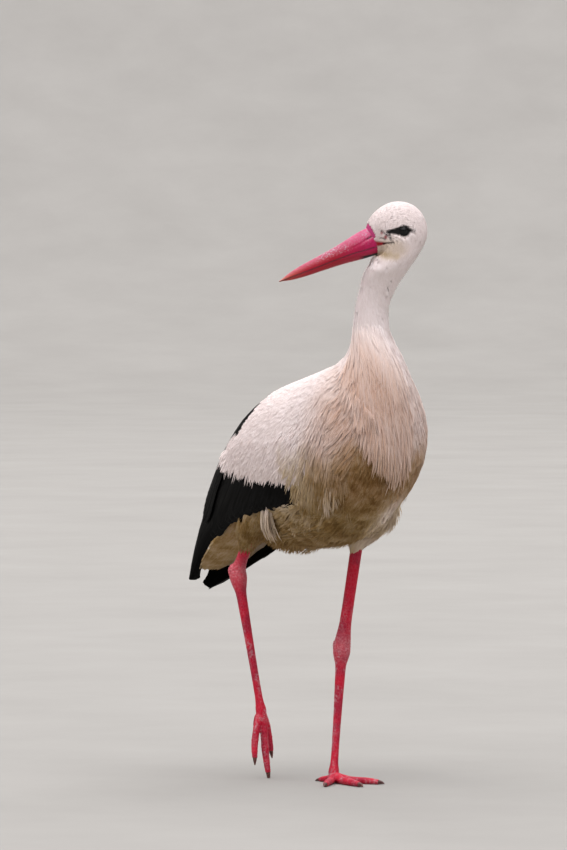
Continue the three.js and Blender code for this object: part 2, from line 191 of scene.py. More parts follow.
def along(rows, t):
    """The row of numbers at place t of a table: a cubic between rows i and i + 1 whose slope at each row is
    half the difference of its neighbours."""
    rows = np.asarray(rows, float)
    flat = rows.ndim == 1
    rows = rows[:, None] if flat else rows
    t = np.asarray(t, float)
    last = len(rows) - 1
    i = np.clip(np.floor(t).astype(int), 0, last - 1)
    f = np.clip(t - i, 0, 1)[..., None]
    a, b, c, d = (rows[np.clip(i + k, 0, last)] for k in (-1, 0, 1, 2))
    m0, m1, h = (c - a) / 2, (d - b) / 2, c - b
    out = b + m0 * f + (3 * h - 2 * m0 - m1) * f**2 + (m0 + m1 - 2 * h) * f**3
    return out[..., 0] if flat else out


def ring_point(rows, angle, grow=0.0, keel=0.1):
    """The point of a ring at an angle from its back, on the bird's left for positive angles: centre + across
    * w * left + down * d * (forward sin(lean) - up cos(lean)), where across and down are sine and minus
    cosine to the power 0.92, and w narrows by keel times down squared towards the belly."""
    x, y, z, heading, lean, width, depth = np.moveaxis(rows, -1, 0)
    heading, lean = heading * RAD, lean * RAD
    s, c = np.sin(angle), -np.cos(angle)
    across, down = np.sign(s) * np.abs(s) ** 0.92, np.sign(c) * np.abs(c) ** 0.92
    w = (width + grow) * across * (1 - keel * np.maximum(down, 0) ** 2)
    d = (depth + grow) * down
    reach = d * np.sin(lean)
    aside = x + np.cos(heading) * w - np.sin(heading) * reach
    behind = y - np.sin(heading) * w - np.cos(heading) * reach
    return np.stack([aside, behind, z - d * np.cos(lean)], axis=-1)


def body_at(t, q, h=0.0):
    """The body's outline at ring number t and angle q, h outside it."""
    return ring_point(along(BODY, t), q, h)


def mantle_rows(side, t):
    """The rings of the folded wing's outer surface on one side; the left one hangs lower and further in at
    its tip."""
    y, z, lean, width, depth = np.moveaxis(along(MANTLE, t), -1, 0)
    left = max(side, 0)
    droop = left * LEFT["droop"] * smoothstep(t, 5, 8)
    tip = left * smoothstep(t, 7, 10.5)
    x, y = -LEFT["inward"] * tip, y + LEFT["back"] * tip
    return np.stack([x, y, z - droop, 0 * y, lean, width, depth], axis=-1)


def mantle_at(side):
    """The folded wing's outer surface on one side as a function of ring number, angle and height."""

    def at(t, q, h=0.0):
        return ring_point(mantle_rows(side, t), side * np.asarray(q), h, 0.04)

    return at


def under_wing(points, limit):
    """Where points lie under a folded wing: in the plane of the nearest ring, between the wing's top and
    bottom edge by share of that angle, and more than half way out from the ring's middle."""
    hidden = np.zeros(len(points), bool)
    for side in (1, -1):
        t = np.linspace(0, WING_END, 201)
        x, y, z, _, lean, width, depth = np.moveaxis(mantle_rows(side, t), -1, 0)
        lean = lean * RAD
        off = (points[:, None, 1] - y) * np.cos(lean) - (points[:, None, 2] - z) * np.sin(lean)
        k = np.abs(off).argmin(1)
        up = ((points[:, 1] - y[k]) * np.sin(lean[k]) + (points[:, 2] - z[k]) * np.cos(lean[k])) / depth[k]
        across = (points[:, 0] - x[k]) / width[k] * side
        angle = np.arctan2(across, up) / RAD
        share = (angle - along(WING_TOP, t[k])) / (along(WING_BOTTOM[side], t[k]) - along(WING_TOP, t[k]))
        along_wing = (t[k] > 0.25) & (t[k] < 9.9)
        hidden |= along_wing & (share > -0.1) & (share < limit) & (np.hypot(across, up) > 0.5)
    return hidden


def head_point(forward, left, z):
    """A point in the head's own terms: forward along the bill's heading, to the head's left, and height."""
    h = HEAD["heading"] * RAD
    forward, left, z = np.broadcast_arrays(forward, left, z)
    x = HEAD["x"] - math.sin(h) * forward + math.cos(h) * left
    y = HEAD["y"] - math.cos(h) * forward - math.sin(h) * left
    return np.stack([x, y, z * 1.0], axis=-1)


def tail_at(t, q, h=0.0):
    """The tail: flattened rings of half width w and half depth d, q from the top; a ring's middle bows back
    by 22 mm towards the tip and its top leans forward by 0.45 d."""
    y, z, width, depth = np.moveaxis(along(TAIL, t), -1, 0)
    crown = np.cos(q)
    back = y - (depth + h) * 0.45 * crown + 22 * np.abs(crown) * np.asarray(t) / (len(TAIL) - 1) - 10
    return np.stack(np.broadcast_arrays((width + h) * np.sin(q), back, z + (depth + h) * crown), axis=-1)


def thigh_at(side):
    """A feathered thigh: upright ellipses through the leg's thigh rows, q from the back round by the
    outside."""
    rows = np.array(LEGS[side]["thigh"], float)

    def at(t, q, h=0.0):
        x, y, z, width, depth = np.moveaxis(along(rows, t), -1, 0)
        q = SIDES[side] * np.asarray(q)
        x, y = x + (width + h) * np.sin(q), y + (depth + h) * np.cos(q)
        return np.stack(np.broadcast_arrays(x, y, z), axis=-1)

    return at


def open_ended(surface, last):
    """The same surface carried straight on past its first and last rings, along its slope there."""

    def at(t, q, h=0.0):
        inside = np.clip(t, 0, last)
        ahead = np.clip(inside + 0.15, 0, last)
        behind = np.clip(inside - 0.15, 0, last)
        slope = (surface(ahead, q, h) - surface(behind, q, h)) / (ahead - behind)[..., None]
        return surface(inside, q, h) + slope * (t - inside)[..., None]

    return at


def bill_axis(run, up, left):
    """A point by its run along the bill's axis from the base, its height square to the axis and how far left
    it is."""
    forward, z = BILL["base"]
    ahead, rise = unit(BILL["tip"] - BILL["base"])
    return head_point(forward + ahead * run - rise * up, left, z + rise * run + ahead * up)


def bill_run(forward, z):
    """How far along the bill's axis a place of the head lies from the bill's base: its offset dotted with
    the axis."""
    base, axis = BILL["base"], BILL["tip"] - BILL["base"]
    return ((forward - base[0]) * axis[0] + (z - base[1]) * axis[1]) / BILL_LENGTH


BILL_LENGTH = float(np.linalg.norm(BILL["tip"] - BILL["base"]))
low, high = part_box("eye_left")
# Metres from the bird's own origin to the CAD frame's: the left eye's middle is found in both
SHIFT = (np.array(low) + np.array(high)) / 2 - head_point(EYE["forward"], EYE["side"], EYE["z"]) / 1000

# ------------------------------------------------------------------ meshes


def grid_faces(rows, columns, closed=False):
    """The four-cornered faces of a grid of points, joined round its columns when closed."""
    i = np.arange(rows * columns).reshape(rows, columns)
    i = np.concatenate([i, i[:, :1]], axis=1) if closed else i
    return np.stack([i[:-1, :-1], i[1:, :-1], i[1:, 1:], i[:-1, 1:]], axis=-1).reshape(-1, 4)


def tube(grid):
    """A closed tube from rings of points: its two ends are fans round the middle of the first and last
    ring."""
    rows, columns = grid.shape[:2]
    points = np.concatenate([grid.reshape(-1, 3), grid[:1].mean(1), grid[-1:].mean(1)])
    ring, nxt = np.arange(columns), np.roll(np.arange(columns), -1)
    first = np.stack([np.full(columns, rows * columns), ring, nxt], axis=-1)
    start = (rows - 1) * columns
    last = np.stack([np.full(columns, rows * columns + 1), nxt + start, ring + start], axis=-1)
    return points, outward(points, [grid_faces(rows, columns, closed=True), np.concatenate([first, last])])


def joined(parts):
    """Several (points, faces) as one, the faces renumbered."""
    starts = np.cumsum([0] + [len(points) for points, _ in parts])
    sizes = sorted({f.shape[1] for _, faces in parts for f in faces})
    moved = [f + start for (_, several), start in zip(parts, starts) for f in several]
    faces = [np.concatenate([f for f in moved if f.shape[1] == size]) for size in sizes]
    return np.concatenate([points for points, _ in parts]), faces


def outward(points, faces):
    """The faces turned so that they enclose a positive volume, the sum of corner triple products over
    six."""
    volume = 0
    for f in faces:
        corners = points[f] - points.mean(0)
        for k in range(1, f.shape[1] - 1):
            volume += np.einsum("ij,ij->", corners[:, 0], np.cross(corners[:, k], corners[:, k + 1]))
    return faces if volume > 0 else [f[:, ::-1] for f in faces]


def metres(points):
    """Points in the bird's own millimetres as the CAD frame's metres, in one row of numbers."""
    return (points / 1000 + SHIFT).astype(np.float32).ravel()


def store(mesh, masks):
    """Keeps each named mask, a value for every point, on the mesh."""
    for title, values in masks.items():
        mesh.attributes.new(title, "FLOAT", "POINT").data.foreach_set("value", values.astype(np.float32))


def mesh_from(name, points, faces, uvs=None, masks=None):
    """A smooth mesh object from points in millimetres and faces; uvs and masks hold a value for each
    point."""
    mesh = bpy.data.meshes.new(name)
    corners = np.concatenate([f.ravel() for f in faces]).astype(np.int32)
    sizes = np.concatenate([np.full(len(f), f.shape[1], np.int32) for f in faces])
    mesh.vertices.add(len(points))
    mesh.vertices.foreach_set("co", metres(points))
    mesh.loops.add(len(corners))
    mesh.loops.foreach_set("vertex_index", corners)
    mesh.polygons.add(len(sizes))
    mesh.polygons.foreach_set("loop_start", (np.cumsum(sizes) - sizes).astype(np.int32))
    mesh.update(calc_edges=True)
    mesh.shade_smooth()
    for title, uv in (uvs or {}).items():
        mesh.uv_layers.new(name=title).uv.foreach_set("vector", uv[corners].astype(np.float32).ravel())
    store(mesh, masks or {})
    made = bpy.data.objects.new(name, mesh)
    bpy.context.scene.collection.objects.link(made)
    return made


def dress(piece, material, slot, *nodes):
    """Gives a piece its material, sets it on the frame and lets it stand for CAD nodes; the slot is not used.
    """
    piece.data.materials.clear()
    piece.data.materials.append(material)
    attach(piece, "root")
    if nodes:
        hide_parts(*nodes)
    return piece


def finished(piece):
    """The piece's mesh with its modifiers applied, under the same object."""
    depsgraph = bpy.context.evaluated_depsgraph_get()
    mesh = bpy.data.meshes.new_from_object(piece.evaluated_get(depsgraph))
    piece.modifiers.clear()
    piece.data = mesh
    return piece


def coordinates(mesh):
    """A mesh's points in the bird's own millimetres."""
    flat = np.empty(len(mesh.vertices) * 3, np.float32)
    mesh.vertices.foreach_get("co", flat)
    return (flat.reshape(-1, 3) - SHIFT) * 1000


# ------------------------------------------------------------------ markings, shared by skin and coat


def in_head(points):
    """Points in the head's own terms: forward, left and height."""
    h = HEAD["heading"] * RAD
    x, y = points[..., 0] - HEAD["x"], points[..., 1] - HEAD["y"]
    return -math.sin(h) * x - math.cos(h) * y, math.cos(h) * x - math.sin(h) * y, points[..., 2]


def from_eye(points):
    """Points in the head's own terms as seen from the eye: forward of it, the head's left, and above it."""
    forward, left, z = in_head(points)
    return forward - EYE["forward"], left, z - EYE["z"]


def blob(a, b, size_a, size_b, soft=0.25):
    """1 inside the ellipse a/size_a, b/size_b, falling to 0 over a soft rim."""
    return 1 - smoothstep(np.sqrt((a / size_a) ** 2 + (b / size_b) ** 2), 1 - soft, 1 + soft)


def stroke(a, b, start, end, half_start, half_end, soft=0.35):
    """1 along a tapering line from start to end in the plane of a and b, 0 away from it."""
    (a0, b0), (a1, b1) = start, end
    along_a, along_b = a1 - a0, b1 - b0
    share = np.clip(((a - a0) * along_a + (b - b0) * along_b) / (along_a**2 + along_b**2), 0, 1)
    far = np.hypot(a - a0 - share * along_a, b - b0 - share * along_b)
    half = half_start + (half_end - half_start) * share
    return 1 - smoothstep(far, half * (1 - soft), half * (1 + soft))


def face_marks(points):
    """Masks of the bare face: the black lids with their point towards the bill and the thin line behind, the
    black skin at the foot of the lower bill, and the red corner of the mouth."""
    away, left, up = from_eye(points)
    shown = smoothstep(np.abs(left), 9, 13)
    on_head = points[..., 2] > NECK_TOP
    black = np.maximum.reduce([
        blob(away, up, 9.2, 8.2, 0.1),
        stroke(away, up, (4, -0.3), (22.5, -1.7), 6.6, 2.4, 0.2),
        stroke(away, up, (-6, 0.5), (-17, 1), 2.8, 0.9),
        0.95 * stroke(away, up, (21.5, -2), (19, -13), 1.5, 0.8),
        0.9 * stroke(away, up, (31, 0), (23, -7), 0.9, 1.1),
        0.8 * stroke(away, up, (32, -10), (26, -12), 0.7, 1),
        0.9 * stroke(away, up, (15, -16), (28, -18.5), 0.8, 1.2),
        stroke(away, up, (36, -24), (39, -33), 2.2, 3.4),
    ])
    red = np.maximum.reduce([
        stroke(away, up, (27, -18), (38, -19), 1.6, 4.2),
        0.85 * blob(away - 25.5, up + 9, 2, 3, 0.4),
        0.7 * blob(away - 30.5, up + 3, 1.8, 2.4, 0.4),
    ])
    return np.where(on_head, black * shown, 0), np.where(on_head, red * shown, 0)


def cere(points):
    """The bare pink skin that carries the bill's colour a little way up the forehead and back along its
    side."""
    forward, _, z = in_head(points)
    over = z - BILL["base"][1]
    return smoothstep(bill_run(forward, z), -5, -3) * smoothstep(over, 2, 6) * (z > NECK_TOP) * (forward > 20)


def waves(points, size, seed):
    """Smooth noise, mostly between -1 and 1: the sum of five sine waves of about that size in random
    directions, over three."""
    rng = np.random.default_rng(seed)
    total = 0
    for _ in range(5):
        direction = rng.normal(size=3)
        direction *= rng.uniform(0.6, 1.5) * 2 * math.pi / size / np.linalg.norm(direction)
        total = total + np.sin(points @ direction + rng.uniform(0, 6.28))
    return total / 3


def soil_and_shade(points):
    """How brown the plumage is, real soiling and painted shade together: little above, most under the belly
    and the tail, where the brown stands partly for shade, paler before the left thigh, with a tan throat, a
    painted shadow beside the bib and a painted shadow line under the cheek feathers."""
    x, y, z = np.moveaxis(points, -1, 0)
    # the brown under the body is real soiling and painted shade of the belly together
    keel = 428 - 0.12 * (y - 60) + 4 * smoothstep(-y, 0, 60)
    # painted shadow: the brown reaches higher on the breast beside the bib on the bird's right, where the
    # bib's shade falls
    keel = keel + 24 * blob(x + 40, z - 462, 32, 42, 0.7) * (y < 0)
    low = smoothstep(keel + 12 * waves(points, 90, 4) - z, -66, 60)
    low = low * (1 - 0.85 * blob(x - 29, z - 396, 28, 34, 0.7) * (y < 40))
    away, _, up = from_eye(points)
    throat = 0.16 * blob(away - 18, up + 26, 20, 13, 0.6)
    # painted shadow: a brown line under the cheek feathers
    throat = (throat + 0.25 * stroke(away, up, (32, -33), (12, -37), 3, 4, 0.9)) * (z > NECK_TOP)
    return np.where(z < NECK_FOOT, low, throat)


def tanning(points):
    """How cream or tan the plumage is: in long streaks down the front, fading out towards the neck and
    sooner on the left."""
    x, y, z = np.moveaxis(points, -1, 0)
    fade = 583 - 45 * smoothstep(x, -35, 20)
    front = smoothstep(-y, -40, 45) * smoothstep(z, 380, 450) * (1 - smoothstep(z, fade, fade + 120))
    streak = np.clip(0.5 + 0.6 * waves(points * [1, 0.3, 0.1], 15, 8), 0, 1)
    return front * (0.65 + 0.35 * streak)


# ------------------------------------------------------------------ feathers

# Sections of feathers: shares of the half width from edge to edge and, at each, of the thickness
SLIVER = np.array([[-1, 0], [0, 1], [1, 0]])
ARCHED = np.array([[-1, 0], [-0.5, 0.75], [0, 1], [0.5, 0.75], [1, 0]])
VANE = np.array([
    [-1, 0], [-0.62, 0.7], [-0.25, 0.9], [0, 1.5], [0.25, 0.9], [0.62, 0.7], [1, 0],
    [0.5, -0.35], [-0.5, -0.35],
])
# Outlines of feathers: shares of the length and, at each, of the half width
LOCK = np.array([[0, 0.5], [0.3, 0.95], [0.65, 0.9], [0.86, 0.5]])
PLUME = np.array([[0, 0.5], [0.2, 0.85], [0.42, 1], [0.62, 0.95], [0.8, 0.7], [0.92, 0.38]])
NUB = np.array([[0, 0.7], [0.5, 1]])
ROUND = np.array([[0, 0.45], [0.3, 0.85], [0.6, 1], [0.82, 0.85], [0.94, 0.5]])
STEP = 0.01  # of a ring or of a radian, for slopes
ROUNDED = {"each": 1, "shape": ROUND, "section": ARCHED}


def measured(surface, t, q):
    """The surface's slopes at (t, q) as lengths: of a step in t, of the part of a step in q that lies along
    it, and of the part square to it."""
    here = surface(t, q)
    by_t = (surface(t + STEP, q) - here) / STEP
    by_q = (surface(t, q + STEP) - here) / STEP
    length = lengths(by_t)
    slant = np.einsum("...i,...i->...", by_t, by_q) / length
    square = lengths(by_q - (slant / length)[..., None] * by_t)
    return length, slant, np.maximum(square, 5.0)


def walked(surface, t, q, heading, length, shares, flow):
    """The line of each feather over the surface: from (t, q) it goes on at its heading, measured from the
    lie of the coat towards the belly, by its length at the given shares. Returns t and q at each."""
    ts, qs = [t], [q]
    for here, there in zip(shares[:-1], shares[1:]):
        size, slant, square = measured(surface, ts[-1], qs[-1])
        step = length * (there - here)
        b = step * np.sin(heading) / square
        ts.append(ts[-1] + (step * np.cos(heading) * flow - b * slant) / size)
        qs.append(qs[-1] + b)
    return np.stack(ts, axis=-1), np.stack(qs, axis=-1)


def blades(surface, t, q, half, height, section, thick, sag=0.0):
    """Closed feathers along lines of places (t, q), one line a row: at each place the section is laid over
    the surface, its sides half wide and its middle thick above the height; the last place is the point.
    Returns points, faces, how far along and across each point lies and its feather's root."""
    size, slant, square = measured(surface, t, q)
    dt, dq = np.gradient(t, axis=1), np.gradient(q, axis=1)
    ahead, aside = dt * size + dq * slant, dq * square
    norm = np.maximum(np.hypot(ahead, aside), 1e-6)
    ahead, aside = ahead / norm, aside / norm
    side_q = ahead / square
    side_t = (-aside - side_q * slant) / size
    across, up = section[:, 0], section[:, 1]
    wide = half[:, :-1, None] * across
    ring_t = t[:, :-1, None] + side_t[:, :-1, None] * wide
    ring_q = q[:, :-1, None] + side_q[:, :-1, None] * wide
    ring = surface(ring_t, ring_q, height[:, :-1, None] + thick * up)
    tip = surface(t[:, -1], q[:, -1], height[:, -1])[:, None]
    many, stations, around = ring.shape[:3]
    share = np.linspace(0, 1, stations + 1)
    points = np.concatenate([ring.reshape(many, -1, 3), tip], axis=1)
    v = np.append(np.repeat(share[:-1], around), 1)
    u = np.append(np.tile(across, stations), 0)
    points[..., 2] -= np.reshape(sag, (-1, 1)) * v**2
    i = np.arange(stations * around).reshape(stations, around)
    last, nxt = i[-1], np.roll(i[-1], -1)
    tips = np.stack([last, nxt, np.full(around, stations * around)], axis=-1)
    root = np.stack([np.zeros(around - 2, int), np.arange(2, around), np.arange(1, around - 1)], axis=-1)
    start = np.arange(many)[:, None, None] * (stations * around + 1)
    quads = (grid_faces(stations, around, closed=True)[:, [0, 3, 2, 1]] + start).reshape(-1, 4)
    triangles = (np.concatenate([tips, root]) + start).reshape(-1, 3)
    points = points.reshape(-1, 3)
    faces = outward(points, [quads, triangles])
    return {"points": points, "faces": faces, "u": np.tile(u, many), "v": np.tile(v, many),
            "t": np.repeat(t[:, 0], len(v)), "q": np.repeat(q[:, 0], len(v)), "each": len(v)}


def scattered(surface, span, edges, pitch, rng):
    """Root places in rows pitch[0] apart between two rings and pitch[1] apart along each row, every other
    row half a place on, each a little off its spot. Where rows crowd together, roots are dropped by chance,
    so that about as many are left to the area."""
    fine = np.linspace(*span, 160)
    low, high = (np.broadcast_to(e, fine.shape) * RAD for e in edges(fine))
    across = low[:, None] + (high - low)[:, None] * np.linspace(0, 1, 24)
    steps = lengths(np.diff(surface(fine[:, None] + 0 * across, across), axis=0))
    run = np.append(0, np.cumsum(steps.max(1)))
    rows = np.interp(np.arange(pitch[0] / 2, run[-1], pitch[0]), run, fine)
    sense = np.sign(span[1] - span[0])
    low, high = (np.interp(sense * rows, sense * fine, e) for e in (low, high))
    turn = low[:, None] + (high - low)[:, None] * np.linspace(0, 1, 80)
    arc = np.cumsum(lengths(np.diff(surface(rows[:, None] + 0 * turn, turn), axis=1)), axis=1)
    arc = np.concatenate([np.zeros((len(rows), 1)), arc], axis=1)
    apart = pitch[1]
    places = [np.arange(0.25 + 0.5 * (k % 2), arc[k, -1] / apart, 1.0) * apart for k in range(len(rows))]
    off = [rng.uniform(-0.35, 0.35, len(p)) * apart for p in places]
    q = [np.interp(p + o, arc[k], turn[k]) for k, (p, o) in enumerate(zip(places, off))]
    row = np.repeat(np.arange(len(rows)), [len(p) for p in places])
    step, q = np.gradient(rows)[row], np.concatenate(q)
    gap = lengths(surface(rows[row] + step, q) - surface(rows[row], q))
    keep = rng.uniform(0, 1, len(row)) < gap / pitch[0]
    return (rows[row] + rng.uniform(-0.35, 0.35, len(row)) * step)[keep], q[keep]


def asked(value, t, q):
    """A number, or a function of ring and angle, at each root."""
    return np.broadcast_to(value(t, q) if callable(value) else value, t.shape).astype(float)


def cover(surface, span, edges, pitch, length, half, seed, heading=0, flow=-1, each=3, fan=9, lift=1.0,
          sink=4.0, shape=LOCK, section=SLIVER, thick=0.5, mess=5, spread=0.5, sag=0.0, clear=None,
          bare=0.0):
    """Feathers over a patch of a surface. Each feather is a few blades side by side that fan out a little
    and shorten towards its edges; they start sink under the outline and their points end lift above it.
    Clear keeps the roots that it allows; bare drops what lies under a folded wing down to that share of its
    depth."""
    rng = np.random.default_rng(seed)
    t, q = scattered(surface, span, edges, pitch, rng)
    if clear is not None:
        keep = clear(surface(t, q))
        t, q = t[keep], q[keep]
    many = len(t)
    toward = np.where(np.sin(q) >= 0, 1.0, -1.0)
    angle = (asked(heading, t, q) + rng.normal(0, mess, many)) * RAD * toward
    size = asked(length, t, q) * rng.uniform(0.82, 1.15, many)
    wide = asked(half, t, q) * rng.uniform(0.85, 1.15, many)
    high = asked(lift, t, q) * rng.uniform(0.3, 1.4, many)
    deep = asked(sink, t, q)
    tone = rng.uniform(0, 1, many)
    place = np.linspace(-1, 1, each) if each > 1 else np.zeros(1)
    roots = (t, q, angle, size, wide, high, deep, tone)
    t, q, angle, size, wide, high, deep, tone = (np.repeat(a, each) for a in roots)
    place = np.tile(place, many)
    place = place + rng.normal(0, 0.2, len(place)) * (each > 1)
    angle = angle + (place * fan + rng.normal(0, mess / 3, len(place))) * RAD
    size = size * (1 - 0.22 * place**2) * rng.uniform(0.9, 1.08, len(place))
    _, _, square = measured(surface, t, q)
    q = q + place * wide * each * spread / square * flow
    share = np.append(shape[:, 0], 1)
    ts, qs = walked(surface, t, q, angle, size, share, flow)
    fullness = np.append(shape[:, 1], 0)
    height = -deep[:, None] + (deep + high)[:, None] * share**0.8
    drop = asked(sag, t, q)
    tone = np.clip(0.9 * tone + 0.6 * rng.uniform(0, 1, len(tone)) - 0.25, 0, 1)
    if bare:
        hidden = [under_wing(surface(ts[:, k], qs[:, k]), bare) for k in (len(share) // 2, -1)]
        seen = ~np.logical_or.reduce(hidden)
        ts, qs, wide, height, drop, tone = (a[seen] for a in (ts, qs, wide, height, drop, tone))
    made = blades(surface, ts, qs, wide[:, None] * fullness, height, section, thick, drop)
    made["tone"] = np.repeat(tone, made["each"])
    return made


# ------------------------------------------------------------------ skin

# How far the skin lies under the outline at each body ring, along the back and along the belly
DEPTH_BACK = np.array([7] * 10 + [6, 5, 5, 4.5, 4.5, 4.5, 4.5, 4, 3, 2.2, 2, 2, 2, 2, 1.6, 1.2])
DEPTH_BELLY = np.array(
    [8, 10] + [11] * 6 + [10, 10, 9, 8, 7, 6, 5.5, 5, 4.5, 4, 3, 2.2, 1.6, 1.6, 1.6, 1.6, 1.4, 1.2]
)


def coat_depth(t, q):
    """How deep the skin lies under the outline: the back's depth turning into the belly's as (1 - cos q) /
    2."""
    belly = (1 - np.cos(q)) / 2
    return along(DEPTH_BACK, t) * (1 - belly) + along(DEPTH_BELLY, t) * belly


def body_skin():
    """The body loft from rump to bill, set in by the coat's depth, with fine rings round the head."""
    trunk, neck = np.linspace(0, 10, 60, endpoint=False), np.linspace(10, 17, 44, endpoint=False)
    rings = np.concatenate([trunk, neck, np.linspace(17, 25, 104)])
    t, q = np.meshgrid(rings, circle(128), indexing="ij")
    return tube(body_at(t, q, -coat_depth(t, q)))


def wing_arm(side):
    """The arm of a folded wing under its coverts: the mantle's surface between two depths, closed round its
    edges by a section that runs out along the top and back along the underside."""
    a = np.linspace(0, 1, 40)
    c = np.linspace(-1, 1, 20)
    c = np.concatenate([c, c[::-1]])
    top = np.repeat([1, 0], 20)
    t = 0.2 + 5.6 * a[:, None] + 0 * c
    low, high = np.broadcast_arrays(along(WHITE_TOP, t), along(WHITE_BOTTOM, t) - 16)
    q = (low + (high - low) * (c + 1) / 2) * RAD
    swell = np.sqrt(1 - 0.97 * c**2) * np.sqrt(1 - 0.97 * (2 * a[:, None] - 1) ** 6)
    return tube(mantle_at(side)(t, q, np.where(top, -7 + 2.5 * swell, -9 - 5 * swell)))


def thigh_skin(side):
    """The thigh's ellipses set in by half their width beyond the bare shank's, at most by 14 mm."""
    t, q = np.meshgrid(np.linspace(0, 5, 48), circle(64), indexing="ij")
    width = along(LEGS[side]["thigh"], t)[..., 3]
    return tube(thigh_at(side)(t, q, -np.clip((width - 8.8) * 0.5, 0, 14)))


def limb(points, radii, rings, sides):
    """Circles carried along a smooth line through points, square to it, each with the radius of its
    place."""
    share = np.linspace(0, len(points) - 1, rings)
    path, radius = along(points, share), along(radii, share)
    ahead = np.gradient(path, axis=0)
    ahead /= lengths(ahead)[:, None]
    across = np.array([1.0, 0, 0]) - ahead * ahead[:, :1]
    across /= lengths(across)[:, None]
    deep = np.cross(ahead, across)
    angle = circle(sides)
    ring = across[:, None] * np.sin(angle)[:, None] + deep[:, None] * np.cos(angle)[:, None]
    return tube(path[:, None] + radius[:, None, None] * ring)


def bone(start, end, table, rings=90, sides=48):
    """A straight bone between two joints whose half width follows a table of shares and half widths."""
    start, end, table = (np.asarray(a, float) for a in (start, end, table))
    return limb(start + (end - start) * table[:, :1], table[:, 1], rings, sides)


MELT = 0.00105  # metres: the grain at which the parts of a leg melt together


def leg_skin(side):
    """Shank, heel, tarsus, foot and toes melted into one skin; then the heel's cross folds and the toes'
    scutes are pressed in as cosine ridges along the bone, and nothing reaches below the floor."""
    knee, heel, ball = (np.array(p, float) for p in LEGS[side]["bones"])
    parts = [bone(knee, heel, SHANK), bone(heel, ball, TARSUS)]
    shin = unit(heel - ball)
    hock = heel + np.array([0, 1.5, 0])
    parts.append(limb([hock + shin * up for up in (-13, -6, 5, 12)], [7, 11.8, 12.4, 7], 24, 32))
    parts += [limb(points, TOE[toe], 60, 32) for toe, points in LEGS[side]["toes"].items()]
    for toe, points in LEGS[side]["toes"].items():
        places = [1.0, 2.2] if toe == "hind" else [1.0, 1.75, 2.45]
        for knuckle, radius in zip(along(points, places), along(TOE[toe], places)):
            half, radii = np.array([0, 0, 0.8 * radius]), radius * np.array([0.5, 1.12, 0.5])
            parts.append(limb([knuckle - half, knuckle, knuckle + half], radii, 12, 20))
    piece = mesh_from("leg_" + side, *joined(parts))
    remesh = piece.modifiers.new("melt", "REMESH")
    remesh.mode, remesh.voxel_size = "VOXEL", MELT
    finished(piece)
    smooth = piece.modifiers.new("ease", "SMOOTH")
    smooth.factor, smooth.iterations = 0.5, 4
    mesh = finished(piece).data
    points = coordinates(mesh)
    normals = np.empty(len(points) * 3, np.float32)
    mesh.vertex_normals.foreach_get("vector", normals)
    normals = normals.reshape(-1, 3)
    up_shin = (points - heel) @ shin
    fold = np.exp(-((up_shin / 15) ** 2)) * np.cos(2 * math.pi * (up_shin + 1.1 * waves(points, 16, 3)) / 3.6)
    foot = 1 - smoothstep(points[:, 2], ball[2] + 2, ball[2] + 16)
    far = lengths(points - ball)
    upper = normals[:, 2] if side == "left" else -normals[:, 1]
    scute = foot * smoothstep(upper, -0.1, 0.5) * np.cos(2 * math.pi * far / 3.4)
    points = points + normals * (0.34 * fold + 0.16 * scute)[:, None]
    points[:, 2] = np.maximum(points[:, 2], 0)
    mesh.vertices.foreach_set("co", metres(points))
    return piece


def eyelids(side):
    """A ring of lid round an almond opening on the eyeball: its section is an ellipse 3.4 mm wide and 1.3 mm
    thick that lies on the ball, drawn out to a point in front and a shorter one behind."""
    sign = SIDES[side]
    turn, around = np.meshgrid(circle(96), circle(14), indexing="ij")
    front = np.maximum(np.cos(turn), 0) ** 6
    behind = np.maximum(-np.cos(turn), 0) ** 8
    opening = 6.2 - 0.5 * np.abs(np.sin(turn)) ** 1.5 + 0.9 * front + 0.4 * behind
    middle = opening + 1.9 + 1.3 * front
    reach = middle + (1.9 + 1.1 * front) * np.cos(around)
    off = reach / EYE["radius"]
    height = EYE["radius"] * np.cos(np.minimum(off, 1.15)) + 0.25 + (0.75 - 0.25 * front) * np.sin(around)
    width = EYE["radius"] * np.sin(np.minimum(off, 1.5))
    up = EYE["z"] + width * np.sin(turn) * 0.97
    return tube(head_point(EYE["forward"] + width * np.cos(turn), sign * (EYE["side"] + height), up))


def make_skin(material):
    """One skin: body, wing arms, thighs, legs and lids united into a single closed mesh."""
    skin = mesh_from("skin", *body_skin())
    parts = [mesh_from("arm_" + side, *wing_arm(sign)) for side, sign in SIDES.items()]
    parts += [mesh_from("thigh_skin_" + side, *thigh_skin(side)) for side in SIDES]
    parts += [mesh_from("lids_" + side, *eyelids(side)) for side in SIDES]
    parts += [leg_skin(side) for side in SIDES]
    for part in parts:
        union = skin.modifiers.new("union", "BOOLEAN")
        union.operation, union.solver, union.object = "UNION", "MANIFOLD", part
    finished(skin)
    for part in parts:
        bpy.data.objects.remove(part)
    mesh = skin.data
    mesh.shade_smooth()
    points = coordinates(mesh)
    black, red = face_marks(points)
    legs = np.zeros(len(points))
    hock = np.zeros(len(points))
    for side in SIDES:
        knee, heel, ball = (np.array(p, float) for p in LEGS[side]["bones"])
        near = smoothstep(-np.abs(points[:, 0] - (knee[0] + ball[0]) / 2), -75, -62)
        top = LEGS[side]["thigh"][-1][2] + 10
        legs = np.maximum(legs, near * (1 - smoothstep(points[:, 2], top, top + 14)))
        hock = np.maximum(hock, np.exp(-((lengths(points - heel) / 19) ** 2)))
    face = {"ink": black, "gape": red, "cere": cere(points)}
    store(mesh, {**face, "leg": legs, "hock": hock, "soil_shade": soil_and_shade(points)})
    flesh = ["trunk", "breast", "neck_lower", "neck_middle", "neck_upper", "head"]
    flesh += [f"{part}_{side}" for side in SIDES for part in ("thigh", "shank", "tarsus")]
    flesh += [f"toe_{side}_{toe}" for side in SIDES for toe in TOE]
    return dress(skin, material, "leg_red", *flesh)


# ------------------------------------------------------------------ bill, eyes and claws


